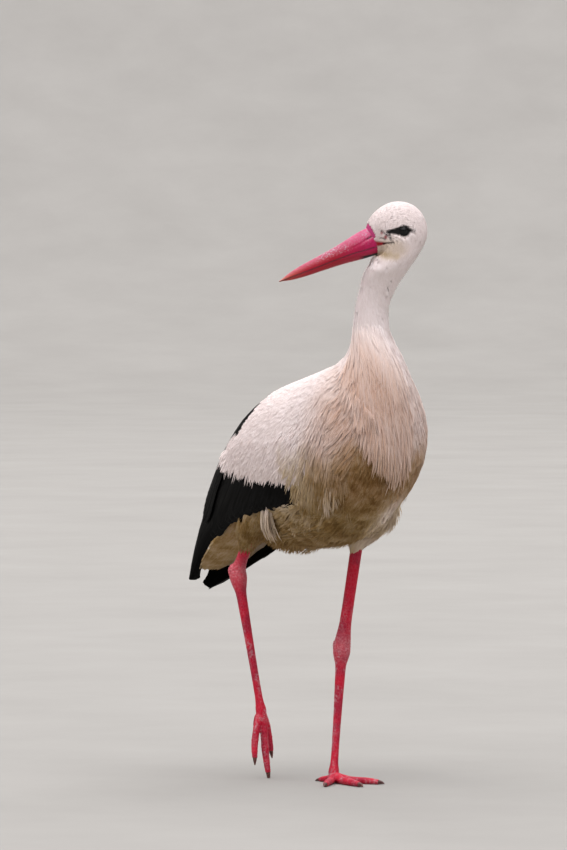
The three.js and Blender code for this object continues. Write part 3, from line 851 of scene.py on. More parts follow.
def mandible(upper):
    """One half of the bill. Stations run from inside the head to the tip. A section is the part of the oval
    (width sin a, depth cos a) above or below the mouth line, closed by a flat along that line; the nostril
    is a groove pressed into both sides of the upper half, and a shallow channel runs on from it."""
    share = np.concatenate([np.linspace(-0.09, 0.8, 90, endpoint=False), np.linspace(0.8, 1, 34)])
    run = share * BILL_LENGTH
    place = np.clip(share, 0, 1) * (len(BILL["depth"]) - 1)
    depth, width = along(BILL["depth"], place), along(BILL["width"], place)
    mouth = along(BILL["mouth"], np.clip((run + 14) / (BILL_LENGTH + 20), 0, 1) * (len(BILL["mouth"]) - 1))
    edge = mouth + (0.16 if upper else -0.16)
    corner = np.arccos(np.clip(edge / (0.92 * depth), -0.95, 0.95))
    sweep = np.linspace(-1, 1, 64)
    angle = corner[:, None] * sweep if upper else math.pi + (math.pi - corner[:, None]) * sweep
    up = depth[:, None] * np.cos(angle) * np.where(np.cos(angle) < 0, 0.92, 1)
    left = width[:, None] * np.sin(angle) * (1 - 0.35 * np.maximum(np.cos(angle), 0) ** 2)
    along_run = run[:, None] + 0 * up
    if upper:
        groove = 1.5 * np.exp(-(((along_run - 6) / 8) ** 4) - ((up - 8.2 + 0.1 * along_run) / 1.3) ** 2)
        channel = 0.45 * np.exp(-((up - 6.5 + 0.07 * along_run) / 1.6) ** 2)
        channel = channel * smoothstep(-along_run, -70, -14) * smoothstep(along_run, 0, 14)
        left = left - np.sign(left) * (groove + channel)
    flat = np.linspace(1, -1, 20)[1:-1]
    flat_up = np.repeat(up[:, -1:], len(flat), axis=1)
    grid_up = np.concatenate([up, flat_up], axis=1)
    grid_left = np.concatenate([left, left[:, -1:] * flat], axis=1)
    grid_run = np.repeat(run[:, None], grid_up.shape[1], axis=1)
    points, faces = tube(bill_axis(grid_run, grid_up, grid_left))
    values = lambda grid: np.append(grid.ravel(), [grid[0].mean(), grid[-1].mean()])
    nostril = np.exp(-(((along_run - 5) / 5) ** 4) - ((up - 8.4 + 0.1 * along_run) / 0.9) ** 2) * upper
    masks = {
        "run": values(grid_run / BILL_LENGTH),
        "rise": values(np.clip((grid_up - edge[:, None]) / depth[:, None], -1.5, 1.5)),
        "slit": values(np.concatenate([nostril, 0 * flat_up], axis=1)),
        "lip": values(np.exp(-(((grid_up - edge[:, None]) / 0.7) ** 2))),
    }
    name = "upper_mandible" if upper else "lower_mandible"
    return mesh_from(name, points, faces, masks=masks)


def eyeball(side):
    """A ball with a slightly raised cornea: its radius grows by 0.45 mm in the middle of the side that looks
    out. The mask is the angle away from the line of sight."""
    sign = SIDES[side]
    off, turn = np.meshgrid(np.linspace(0.02, math.pi - 0.02, 48), circle(64), indexing="ij")
    radius = EYE["radius"] - 0.1 + 0.45 * np.exp(-((off / 0.5) ** 2))
    grid = head_point(
        EYE["forward"] + radius * np.sin(off) * np.cos(turn),
        sign * (EYE["side"] + radius * np.cos(off)),
        EYE["z"] + radius * np.sin(off) * np.sin(turn),
    )
    points, faces = tube(grid)
    masks = {"off": np.append(off.ravel(), [0, math.pi])}
    return mesh_from("eyeball_" + side, points, faces, masks=masks)


def claws(side):
    """The four blunt claws of a foot: each carries on the line of its toe and droops to its point."""
    parts = []
    for toe, points in LEGS[side]["toes"].items():
        end, before = np.array(points[-1], float), np.array(points[-2], float)
        ahead = unit(end - before)
        reach = ahead * CLAW[toe]
        tip = end + reach
        tip[2] = max(tip[2] - 1.5, 1.1)
        radius = TOE[toe][-1]
        path = [end - ahead * 1.5, end + reach * 0.35, end + reach * 0.7 - [0, 0, 0.5], tip]
        parts.append(limb(path, [radius * 0.86, radius * 0.7, radius * 0.46, 0.7], 24, 20))
    points, faces = joined(parts)
    points[:, 2] = np.maximum(points[:, 2], 0)
    return mesh_from("claws_" + side, points, faces)


# ------------------------------------------------------------------ coat pieces


def sharpen(mesh, u, v):
    """Marks the two long edges of every blade as sharp, so that its face shades flat up to them."""
    ends = np.empty(len(mesh.edges) * 2, np.int32)
    mesh.edges.foreach_get("vertices", ends)
    side = np.where(np.abs(u) > 0.99, np.sign(u), 0)[ends].reshape(-1, 2)
    point = (v > 0.99)[ends].reshape(-1, 2)
    border = (side[:, 0] != 0) & (side[:, 0] == side[:, 1])
    border |= (side[:, 0] != 0) & point[:, 1] | (side[:, 1] != 0) & point[:, 0]
    mesh.attributes.new("sharp_edge", "BOOLEAN", "EDGE").data.foreach_set("value", border)


def blade_piece(name, points, faces, u, v, laid, masks):
    """A mesh of blades: OFBake as laid, the vane map across (u) and along (v) each blade, and sharp long
    edges."""
    vane = np.stack([u * 0.5 + 0.5, v], axis=-1)
    piece = mesh_from(name, points, faces, {"OFBake": laid, "vane": vane}, masks)
    sharpen(piece.data, u, v)
    return piece


PATCH = 0.003  # the size of a blade on OFBake


def coat_piece(name, covers, material, slot, *nodes, less_soil_shade=0.0, cream=1.0, tone=(0, 1)):
    """Joins covers into one mesh. OFBake sets each blade as a small patch at its root's place on the
    unrolled surface. A share of the brown of soiling and painted shade can be taken away and cream scales the
    tan: one number for all covers or one for each. Tone is where each feather's tone starts and how far it
    spreads."""
    points, faces = joined([(c["points"], c["faces"]) for c in covers])
    t, q, u, v, tones = (np.concatenate([c[key] for c in covers]) for key in ("t", "q", "u", "v", "tone"))
    place = np.stack([(t - t.min()) / np.ptp(t), (q - q.min()) / np.ptp(q)], axis=-1)
    laid = place * 0.995 + np.stack([u * 0.5 + 0.5, v], axis=-1) * PATCH
    black, red = face_marks(points)
    sizes = [len(c["points"]) for c in covers]
    less_soil_shade, cream = (np.repeat(np.broadcast_to(a, len(covers)), sizes) for a in (less_soil_shade, cream))
    stains_and_shade = {"soil_shade": soil_and_shade(points) * (1 - less_soil_shade), "tan": tanning(points) * cream}
    masks = {"tone": tone[0] + tone[1] * tones, **stains_and_shade, "ink": black, "gape": red}
    return dress(blade_piece(name, points, faces, u, v, laid, masks), material, slot, *nodes)


def feathered_face(points):
    """Where face feathers root: behind the bill's base, and off the lids, lores and corner of the mouth."""
    forward, left, z = in_head(points)
    black, red = face_marks(points)
    bare = np.where(z > BILL["base"][1] + 4, -2.5, 1)
    behind, _ = face_marks(head_point(forward - 4.5, left, z))
    return (z <= NECK_TOP) | ((bill_run(forward, z) < bare) & (black < 0.3) & (behind < 0.5) & (red < 0.4))


QUIET = (0, 0.4)  # the tone of feathers that differ little from one to the next


def head_coat(material):
    """Face and crown in nubs that grow from the bill back over the head."""
    size = lambda t, q: 4.6 + 5.5 * (1 - smoothstep(t, 19, 23))
    face = cover(body_at, (24.9, 17.8), lambda t: (0, 360), (1.8, 1.6), size, 1.0, 11, each=1, lift=0.4,
                 sink=0.9, shape=NUB, thick=0.18, mess=8, clear=feathered_face)
    return coat_piece("coat_head", [face], material, "white_plumage", tone=(0.3, 0.4))


def neck_coat(material):
    """Loose narrow feathers down the neck, longer towards the breast."""
    size = lambda t, q: 16 + 14 * (1 - smoothstep(t, 11, 17))
    neck = cover(body_at, (18.9, 9.9), lambda t: (0, 360), (5, 2.2), size, 1.1, 12, each=2, fan=3, lift=0.4,
                 sink=1.2, thick=0.15, mess=4)
    return coat_piece("coat_neck", [neck], material, "white_plumage", cream=0.45, tone=(0.7, 0.3))


def plumes(material):
    """The bib: long pointed plumes from the turned foreneck that lean together as they hang, the ends of
    each reaching ring 7.8 in the middle and 9.4 at the sides, and looser ones beside them on the left."""
    aside = lambda q: np.abs(q / RAD - 177)
    gather = lambda t, q: 0.45 * np.arctan2(aside(q) * RAD * 62, (t - 7.6) * 50) / RAD
    size = lambda t, q: np.clip((t - 7.85 - 0.0145 * aside(q)) * 54, 40, 116)
    lift = lambda t, q: 4 + 7 * (1 - smoothstep(t, 9.2, 11))
    sides = lambda t: (169, 286 - 92 * (1 - smoothstep(t, 8.7, 10.3)))
    hanging = cover(body_at, (12.9, 8.7), sides, (8.5, 4.8), size, 1.2, 13, heading=gather, each=5, fan=-3,
                    lift=lift, sink=1, shape=PLUME, thick=0.3, mess=3, spread=0.8)
    beside = cover(body_at, (12.9, 9.4), lambda t: (84, 171), (9, 5), 50, 1.1, 43, each=4, fan=-3, lift=2.5,
                   sink=1, shape=PLUME, thick=0.3, mess=4, spread=0.8)
    return coat_piece("coat_plumes", [hanging, beside], material, "white_plumage", less_soil_shade=[0.85, 0.6],
                      cream=[1.3, 0.6])


def breast_coat(material):
    """Soft overlapping feathers on the breast, frayed ones over them, and longer ones at both sides that lap
    over the wings' front edges."""
    size = lambda t, q: 27 + 8 * (1 - smoothstep(t, 6, 8))
    front = cover(body_at, (10.3, 6.2), lambda t: (84, 276), (8, 5.5), size, 3.4, 14, lift=0.2, sink=3,
                  thick=0.3, mess=6, bare=COVERED, **ROUNDED)
    frayed = cover(body_at, (10.3, 6.2), lambda t: (84, 276), (8, 4.6), size, 1.2, 24, each=3, fan=5,
                   lift=0.7, sink=2, thick=0.25, mess=6, bare=COVERED)
    sides = [
        cover(body_at, (9.6, end), lambda t: edge, (8, 4.5), 40, 1.4, 25, heading=-4, each=3, fan=4,
              lift=lift, sink=0, thick=0.3, mess=5, bare=COVERED)
        for edge, end, lift in (((88, 132), 6.6, 1.5), ((230, 272), 6.4, 4))
    ]
    return coat_piece("coat_breast", [front, frayed, *sides], material, "white_plumage", cream=1.25)


def back_coat(material):
    """The mantle: from the neck's foot over the shoulders, and the scapulars down the middle of the back
    between the wings."""
    shoulders = cover(body_at, (10.4, 7.0), lambda t: (-92, 92), (7.5, 5.5), 27, 3.8, 15, lift=-1.4, sink=4,
                      thick=0.3, mess=5, **ROUNDED)
    surface = open_ended(mantle_at(1), WING_END)
    middle = lambda t: (-60 + 2 * t, 60 - 2 * t)
    scapulars = cover(surface, (-0.6, 3.35), middle, (9, 6), 36, 4.2, 16, flow=1, heading=6, lift=0.3,
                      sink=4, thick=0.35, mess=5, **ROUNDED)
    strands = cover(surface, (-0.9, 3.3), middle, (8, 5), 32, 1.4, 26, flow=1, heading=6, each=3, fan=5,
                    lift=0, sink=4, thick=0.25, mess=6)
    return coat_piece("coat_back", [shoulders, scapulars, strands], material, "white_plumage", tone=QUIET)


def flank_coat(material):
    """Longer feathers of the flanks that lap back over the front edge of each folded wing."""
    parts = [
        cover(open_ended(mantle_at(sign), WING_END), (start, end), lambda t: (74, low), (8, 5), 38, 0.9, 44,
              heading=heading, flow=1, each=4, fan=3, lift=lift, sink=3, shape=PLUME, thick=0.3, mess=6)
        for sign, start, end, low, heading, lift in ((-1, -1.2, 2.3, 136, 40, 3), (1, -0.6, 1.6, 135, 34, 0))
    ]
    return coat_piece("coat_flanks", parts, material, "white_plumage", cream=1.25)


def belly_coat(material):
    """Long loose feathers under the body in ruffled clumps, their heading swayed by slow waves, and tufts
    that hang from its lowest part."""
    place = lambda t, q: np.stack([t * 40, q * 90, 0 * t], axis=-1)
    sway = lambda t, q: 15 * waves(place(t, q), 80, 21)
    rough = lambda t, q: 2.5 + 4 * waves(place(t, q), 60, 22)
    surface = open_ended(body_at, BODY_END)
    edges = lambda t: (94, 266)
    under = cover(surface, (6.9, 1.2), edges, (11, 7), 38, 3.0, 17, heading=sway, lift=rough, sink=5,
                  thick=0.4, mess=8, bare=COVERED, **ROUNDED)
    loose = cover(surface, (6.9, 1.2), edges, (10, 5.6), 46, 0.85, 27, heading=sway, each=5, fan=-3,
                  lift=rough, sink=4, thick=0.25, mess=11, spread=0.9, sag=3, bare=COVERED)
    hanging = cover(surface, (3.9, 1.3), lambda t: (160, 232), (15, 9), 44, 0.9, 28, heading=sway, each=5,
                    fan=8, lift=4, sink=2, shape=PLUME, thick=0.3, mess=12, sag=8, bare=COVERED)
    return coat_piece("coat_belly", [under, loose, hanging], material, "belly_plumage")


def thigh_coat(side, seed):
    """Feathered thigh: soft locks down to the bare shank."""
    size = lambda t, q: 34 - 14 * smoothstep(t, 2.5, 5)
    surface = open_ended(thigh_at(side), THIGH_END)
    bare = {"left": COVERED, "right": 1.02}[side]
    return cover(surface, (0.2, 4.6), lambda t: (0, 360), (8, 4.2), size, 0.9, seed, flow=1, each=4, fan=8,
                 lift=2.5, sink=4, thick=0.3, mess=8, bare=bare)


def tufts(material):
    """Loose pale tufts: over the right thigh below the wing's edge, on the right flank, and down the left
    thigh."""
    left = open_ended(thigh_at("left"), THIGH_END)
    body = open_ended(body_at, BODY_END)
    hung = lambda t, q: 7 + 6 * blob(t - 1.9, q / RAD - 145, 0.9, 32, 0.5)
    parts = [
        cover(body, (3.75, 3.3), lambda t: (238, 248), (6, 4), 42, 1.0, 61, heading=66, each=5, fan=1,
              lift=13, sink=-1, shape=PLUME, thick=0.3, mess=3),
        cover(body, (6.9, 6.3), lambda t: (230, 240), (6, 4), 38, 0.8, 62, heading=42, each=5, fan=2, lift=7,
              sink=0, shape=PLUME, thick=0.25, mess=6),
        cover(body, (5.8, 4.5), lambda t: (220, 246), (8, 5), 40, 0.8, 63, heading=18, each=5, fan=4, lift=6,
              sink=0, shape=PLUME, thick=0.25, mess=10),
        cover(left, (0.6, 3.9), lambda t: (96, 262), (8, 5), 46, 0.9, 64, heading=4, flow=1, each=5, fan=4,
              lift=hung, sink=1, shape=PLUME, thick=0.3, mess=9),
    ]
    return coat_piece("tufts", parts, material, "white_plumage", less_soil_shade=[0.75, 0.6, 0.3, 0.65])


def covert_coat(side, material):
    """The white of a folded wing: coverts that turn down from the wing's line towards their lower edge,
    where longer points make a fringe over the black quills."""
    sign = SIDES[side]
    surface = open_ended(mantle_at(sign), WING_END)
    share = lambda t, q: (q / RAD - along(WHITE_TOP, t)) / (along(WHITE_BOTTOM, t) - along(WHITE_TOP, t))
    turn = lambda t, q: 10 + 34 * np.clip(share(t, q), 0, 1)
    size = lambda t, q: 25 + 8 * share(t, q)
    edges = lambda t: (along(WHITE_TOP, t) - 2, along(WHITE_BOTTOM, t) - 9)
    over = lambda t, q: 0.5 + 3.5 * smoothstep(t, 4.6, 5.7)
    small = cover(surface, (-0.5, 5.7), edges, (8, 5.5), size, 3.2, 31 + sign, heading=turn, flow=1,
                  lift=over, sink=2.5, thick=0.25, mess=4, **ROUNDED)
    frayed = cover(surface, (-0.5, 5.7), edges, (7.5, 4.4), size, 1.2, 33 + sign, heading=turn, flow=1,
                   each=3, fan=4, lift=over, sink=1, thick=0.2, mess=4)
    hem = lambda t: (along(WHITE_BOTTOM, t) - 34, along(WHITE_BOTTOM, t) - 8)
    fringe = cover(surface, (-0.2, 5.3), hem, (8, 4), 33, 1.2, 35 + sign, heading=42, flow=1, each=3, fan=5,
                   lift=1.6, sink=2, thick=0.25, mess=8)
    return coat_piece("coverts_" + side, [small, frayed, fringe], material, "white_plumage",
                      f"wing_{side}_coverts", less_soil_shade=0.9, tone=QUIET)


def undertail_coat(material):
    """Soft pale feathers under the tail, laid towards its tip, and over its root."""
    size = lambda t, q: np.minimum(42, 12 + 36 * np.maximum(3.6 - t, 0))
    surface = open_ended(tail_at, TAIL_END)
    lower = cover(surface, (0.1, 3.3), lambda t: (84, 276), (9, 6), size, 2.3, 41, flow=1, each=3, fan=9,
                  lift=1.5, sink=3, thick=0.5, mess=6, bare=COVERED)
    upper = cover(surface, (-0.2, 1.2), lambda t: (-84, 84), (11, 7), 36, 2.3, 42, flow=1, each=3, fan=8,
                  lift=1, sink=3, thick=0.5, mess=6, bare=COVERED)
    return coat_piece("coat_undertail", [lower, upper], material, "belly_plumage", less_soil_shade=0.2)


# ------------------------------------------------------------------ quills

QUILL_SHARES = np.array([0, 0.08, 0.18, 0.3, 0.42, 0.54, 0.66, 0.76, 0.84, 0.9, 0.945, 0.975, 0.992, 1])


def quills(surface, edge, root, tip, half, height, rise, bow, seed, blunt):
    """Long vanes, one for each entry of root and tip: (ring, share) pairs, the share counted from the top
    edge to the bottom edge at that ring. A vane runs straight between them in those terms with a bow of 4s(1
    - s), keeps its half width to its last part and rounds off as a quarter ellipse; height and rise set
    where its root and its tip lie."""
    rng = np.random.default_rng(seed)
    s = QUILL_SHARES[None]
    many = len(root)
    root, tip = root[:, None], tip[:, None]
    t = root[..., 0] + (tip[..., 0] - root[..., 0]) * s
    c = root[..., 1] + (tip[..., 1] - root[..., 1]) * s + bow * 4 * s * (1 - s)
    top, bottom = edge(t)
    q = (top + (bottom - top) * c) * RAD
    taper = np.sqrt(np.maximum(1 - (np.maximum(s - 1 + blunt, 0) / blunt) ** 2, 0))
    taper = taper * (0.4 + 0.6 * smoothstep(s, 0, 0.25))
    wide = np.reshape(half, (-1, 1)) * taper * rng.uniform(0.94, 1.06, (many, 1))
    high = np.reshape(height, (-1, 1)) + np.reshape(rise, (-1, 1)) * s
    tilted = VANE + np.outer(VANE[:, 0] * -1.5, [0, 1])
    made = blades(surface, t, q, wide, high, tilted, 0.42)
    made["tone"] = np.repeat(rng.uniform(0, 1, many), made["each"])
    return made


def quill_piece(name, vanes, material, slot, node, less_soil_shade=0.0):
    """Vanes as a piece; OFBake gives each its own strip, side by side. A share of the brown of soiling and
    painted shade can be taken away.
    """
    points, faces = joined([(vanes["points"], vanes["faces"])])
    u, v = vanes["u"], vanes["v"]
    strip = np.arange(len(points)) // vanes["each"]
    laid = np.stack([(strip + 0.05 + 0.9 * (u * 0.5 + 0.5)) / (strip.max() + 1), 0.01 + 0.98 * v], axis=-1)
    masks = {"tone": vanes["tone"], "soil_shade": soil_and_shade(points) * (1 - less_soil_shade)}
    return dress(blade_piece(name, points, faces, u, v, laid, masks), material, slot, node)


def pairs(a, b):
    """Two rows of numbers as a row of pairs."""
    return np.stack(np.broadcast_arrays(a, b), axis=-1)


def wing_quills(side, material):
    """A folded wing's black: secondaries whose tips step along the lower edge, tertials over the back, and
    primaries that run on to the wing's point."""
    surface = open_ended(mantle_at(SIDES[side]), WING_END)
    bottom = WING_BOTTOM[SIDES[side]]
    edge = lambda t: (along(WING_TOP, t), along(bottom, t))
    k, j = np.linspace(0, 1, 17), np.linspace(0, 1, 11)
    steps = pairs(2.75 + 4.6 * k + 0.06 * np.sin(41 * k), 0.95 - 0.02 * k + 0.006 * np.sin(29 * k))
    # root, tip, half width, height, rise, bow, seed and bluntness of each set
    sets = {
        "secondaries": (pairs(1.5 + 2.6 * k, 0.62 - 0.1 * k), steps, 14, -1.5 - 2.5 * k, 0.8, 0.03, 51, 0.16),
        "tertials": (pairs(3.3 + 0.5 * j, 0.02 + 0.42 * j), pairs(6.6 + 0.9 * j, 0.08 + 0.62 * j),
                     13, -3.5 + j, 7 - 4 * j, -0.03, 52, 0.2),
        "primaries": (pairs(5.2, 0.2 + 0.62 * j), pairs(10.7 - 1.1 * np.abs(j - 0.4) ** 1.4, 0.1 + 0.8 * j),
                      11, -3.5 - 1.2 * j, 2.6, 0.02, 53, 0.12),
    }
    for name, numbers in sets.items():
        vanes = quills(surface, edge, *numbers)
        quill_piece(f"{name}_{side}", vanes, material, "black_plumage", f"wing_{side}_{name}")


def tail_feathers(material):
    """Twelve white tail feathers fanned over the top of the tail."""
    k = np.linspace(-1, 1, 12)
    edge = lambda t: (-90 + 0 * t, 90 + 0 * t)
    root, tip = pairs(0.2, 0.5 + 0.3 * k), pairs(4.35 - 0.35 * k**2, 0.5 + 0.42 * k)
    surface = open_ended(tail_at, TAIL_END)
    fan = quills(surface, edge, root, tip, 12.5, 0.2 - 0.5 * np.abs(k), 0.4, 0, 54, 0.12)
    return quill_piece("tail_feathers", fan, material, "white_plumage", "tail", less_soil_shade=0.6)


# ------------------------------------------------------------------ materials


def feed(tree, value, socket):
    """Links another node's output to the socket, or sets a plain value on it."""
    if isinstance(value, bpy.types.NodeSocket):
        tree.links.new(value, socket)
    else:
        socket.default_value = value


def node(tree, kind, inputs=None, **settings):
    """A shader node with its settings; an input is a number, a colour or another node's output."""
    made = tree.nodes.new("ShaderNode" + kind)
    for key, value in settings.items():
        setattr(made, key, value)
    for key, value in (inputs or {}).items():
        feed(tree, value, made.inputs[key])
    return made


def mixed(tree, factor, a, b, blend="MIX"):
    """The colour a turned into b by a factor."""
    return node(tree, "Mix", {0: factor, 6: a, 7: b}, data_type="RGBA", blend_type=blend).outputs[2]


def layered(tree, base, *layers):
    """The base turned by each (factor, colour) after the other."""
    for factor, tint in layers:
        base = mixed(tree, factor, base, tint)
    return base


def sums(tree, operation, a, b=0.0):
    """One step of arithmetic on two numbers."""
    return node(tree, "Math", {0: a, 1: b}, operation=operation).outputs[0]


def times(tree, first, *others, clamp=False):
    """The product of numbers; clamp holds every step between 0 and 1."""
    for other in others:
        first = node(tree, "Math", {0: first, 1: other}, operation="MULTIPLY", use_clamp=clamp).outputs[0]
    return first


def ranged(tree, value, low, high, to_low=0.0, to_high=1.0):
    """The value's range low to high spread over another, held at its ends."""
    ends = {"From Min": low, "From Max": high, "To Min": to_low, "To Max": to_high}
    return node(tree, "MapRange", {"Value": value, **ends}).outputs["Result"]


def colour(r, g, b):
    """A linear colour from the familiar 0 to 255 values."""
    return tuple((c / 255) ** 2.2 for c in (r, g, b)) + (1.0,)


def mask(tree, name):
    """A mask that the mesh keeps under a name."""
    return node(tree, "Attribute", attribute_name=name).outputs["Fac"]


def group(name, inputs, outputs):
    """An empty shader group with named sockets; inputs map a name to its default, outputs a name to its
    kind. Returns the group, the outputs that give its inputs, and the inputs that take its outputs."""
    tree = bpy.data.node_groups.new(name, "ShaderNodeTree")
    for title, value in inputs.items():
        kind = "NodeSocketColor" if isinstance(value, tuple) else "NodeSocketFloat"
        tree.interface.new_socket(title, in_out="INPUT", socket_type=kind).default_value = value
    for title, kind in outputs.items():
        tree.interface.new_socket(title, in_out="OUTPUT", socket_type="NodeSocket" + kind)
    return tree, tree.nodes.new("NodeGroupInput").outputs, tree.nodes.new("NodeGroupOutput").inputs


def placed(tree, shared, **inputs):
    """A shared group in a material with its own values."""
    made = node(tree, "Group", node_tree=shared)
    for key, value in inputs.items():
        feed(tree, value, made.inputs[key])
    return made.outputs


def mottled(tree, size, low, high, stretch=1.0):
    """The shared mottling's mask at a size in millimetres."""
    return placed(tree, MOTTLING, Size=size, Low=low, High=high, Stretch=stretch)["Mask"]


def make_mottling():
    """Blotches over the surface: noise in object coordinates spread between a low and a high level."""
    inputs = {"Size": 10.0, "Low": 0.45, "High": 0.6, "Stretch": 1.0}
    tree, given, wanted = group("mottling", inputs, {"Mask": "Float"})
    place = node(tree, "TexCoord").outputs["Object"]
    squeeze = node(tree, "CombineXYZ", {"X": 1.0, "Y": 1.0, "Z": given["Stretch"]}).outputs[0]
    place = node(tree, "VectorMath", {0: place, 1: squeeze}, operation="MULTIPLY").outputs[0]
    scale = sums(tree, "DIVIDE", 1000.0, given["Size"])
    noise = node(tree, "TexNoise", {"Vector": place, "Scale": scale, "Detail": 4.0, "Roughness": 0.6})
    tree.links.new(ranged(tree, noise.outputs["Fac"], given["Low"], given["High"]), wanted["Mask"])
    return tree


def make_barbs():
    """A feather's barbs: fine ridges that leave the shaft at a slant towards the tip. Height is the sine of
    2 pi count (v - slant |u - 1/2|); Shade is noise drawn out along the barbs; Shaft is 1 along the middle,
    and Rim grows from 0 to 1 towards the edges."""
    kinds = {"Height": "Float", "Shade": "Float", "Shaft": "Float", "Rim": "Float"}
    tree, given, wanted = group("barbs", {"Count": 60.0, "Slant": 0.35}, kinds)
    uv = node(tree, "SeparateXYZ", {0: node(tree, "UVMap", uv_map="vane").outputs[0]}).outputs
    off = sums(tree, "ABSOLUTE", sums(tree, "SUBTRACT", uv["X"], 0.5))
    phase = sums(tree, "SUBTRACT", uv["Y"], times(tree, off, given["Slant"]))
    ridge = sums(tree, "SINE", times(tree, phase, given["Count"], 6.283))
    tree.links.new(ranged(tree, ridge, -1.0, 1.0), wanted["Height"])
    each = times(tree, mask(tree, "tone"), 40.0)
    drawn = {0: times(tree, uv["X"], 9.0), 1: times(tree, phase, 3.0), 2: each}
    place = node(tree, "CombineXYZ", drawn).outputs[0]
    streak = node(tree, "TexNoise", {"Vector": place, "Scale": 1.0, "Detail": 3.0}).outputs["Fac"]
    tree.links.new(ranged(tree, streak, 0.3, 0.7), wanted["Shade"])
    tree.links.new(ranged(tree, off, 0.05, 0.02), wanted["Shaft"])
    tree.links.new(ranged(tree, off, 0.2, 0.5), wanted["Rim"])
    return tree


def film(tree, base, tint, amount):
    """The base under an absorbing film: times the tint to the power of the amount, channel by channel."""
    parts = node(tree, "SeparateColor", {0: tint}).outputs
    powers = {k: sums(tree, "POWER", parts[k], amount) for k in range(3)}
    return mixed(tree, 1.0, base, node(tree, "CombineColor", powers).outputs[0], "MULTIPLY")


def make_dirt_and_shade():
    """Plumage colour: clean feather under a film of tan and a film of brown that is real soil and painted
    shade together, each feather a little darker or lighter and a little more or less browned."""
    inputs = dict.fromkeys(("Clean", "Cream", "Brown"), (1.0, 1.0, 1.0, 1.0))
    inputs |= {"Soil": 0.0, "Tan": 0.0, "Tone": 0.5, "Streak": 0.5, "Blotch": 0.5}
    tree, given, wanted = group("dirt_and_shade", inputs, {"Color": "Color"})
    by = lambda name, low, high: ranged(tree, given[name], 0.0, 1.0, low, high)
    base = film(tree, given["Clean"], given["Cream"], times(tree, given["Tan"], by("Tone", 0.6, 1.2)))
    # the brown film: real soil and painted shade under the body together, in blotches
    soil_shade = times(tree, given["Soil"], by("Blotch", 0.68, 1.12), by("Tone", 0.7, 1.15))
    base = film(tree, base, given["Brown"], soil_shade)
    level = times(tree, by("Tone", 0.8, 1.0), by("Streak", 0.92, 1.0))
    greys = {0: level, 1: sums(tree, "POWER", level, 1.25), 2: sums(tree, "POWER", level, 1.4)}
    grey = node(tree, "CombineColor", greys).outputs[0]
    tree.links.new(mixed(tree, 1.0, base, grey, "MULTIPLY"), wanted["Color"])
    return tree


MOTTLING, BARBS, DIRT_AND_SHADE = make_mottling(), make_barbs(), make_dirt_and_shade()
# BROWN tints both the real soil and the painted shade under the body
CLEAN, CREAM, BROWN = colour(255, 243, 242), colour(210, 188, 172), colour(130, 107, 62)
BLACK, RED_SKIN = colour(9, 7, 9), colour(150, 24, 40)


def material(name, roughness, **constants):
    """An empty material with its Principled shader; constants are set on the shader's own sockets."""
    made = bpy.data.materials.new(name)
    made.use_nodes = True
    tree = made.node_tree
    shader = tree.nodes["Principled BSDF"]
    shader.inputs["Roughness"].default_value = roughness
    for key, value in constants.items():
        shader.inputs[key.replace("_", " ")].default_value = value
    return made, tree, shader


def bumped(tree, shader, height, distance, strength):
    """Bends the shader's normal by a height, distance metres at most."""
    bump = node(tree, "Bump", {"Height": height, "Distance": distance, "Strength": strength})
    tree.links.new(bump.outputs[0], shader.inputs["Normal"])


def dirtied_and_shaded(tree, **values):
    """The shared dirt and painted shade over clean feather, browned by the mesh's own mask in blotches."""
    blotch = mottled(tree, 22.0, 0.38, 0.62)
    colours = {"Clean": CLEAN, "Cream": CREAM, "Brown": BROWN}
    return placed(tree, DIRT_AND_SHADE, **colours, Soil=mask(tree, "soil_shade"), Blotch=blotch, **values)["Color"]


def plumage(name, count):
    """White plumage: the shared dirt and painted shade over clean feather, black and red where the face is
    marked, barbs as bump."""
    made, tree, shader = material(name, 0.8, Specular_IOR_Level=0.2, Subsurface_Weight=0.18,
                                  Subsurface_Radius=(1.0, 0.85, 0.75), Subsurface_Scale=0.003)
    barbs = placed(tree, BARBS, Count=count)
    tan = times(tree, mask(tree, "tan"), ranged(tree, barbs["Rim"], 0.0, 1.0, 1.0, 0.45))
    base = dirtied_and_shaded(tree, Tan=tan, Tone=mask(tree, "tone"), Streak=barbs["Shade"])
    base = layered(tree, base, (mask(tree, "gape"), RED_SKIN), (mask(tree, "ink"), BLACK))
    tree.links.new(base, shader.inputs["Base Color"])
    bumped(tree, shader, barbs["Height"], 0.0001, 0.35)
    return made


def black_plumage():
    """Flight feathers: black with a faint brown cast, a darker shaft, lighter streaks along the barbs as a
    painted sheen, and barbs that catch the light.
    """
    made, tree, shader = material("black_plumage", 0.55, Specular_IOR_Level=0.05, IOR=1.3)
    barbs = placed(tree, BARBS, Count=150.0, Slant=0.22)
    base = layered(
        tree,
        colour(3, 2, 3),
        (mask(tree, "tone"), colour(6, 5, 5)),
        # painted sheen: lighter streaks along the barbs
        (times(tree, barbs["Shade"], 0.5), colour(10, 9, 9)),
        (barbs["Shaft"], colour(9, 8, 8)),
    )
    tree.links.new(base, shader.inputs["Base Color"])
    tree.links.new(ranged(tree, barbs["Shade"], 0.0, 1.0, 0.42, 0.62), shader.inputs["Roughness"])
    bumped(tree, shader, sums(tree, "ADD", barbs["Height"], barbs["Shaft"]), 0.0002, 0.25)
    return made


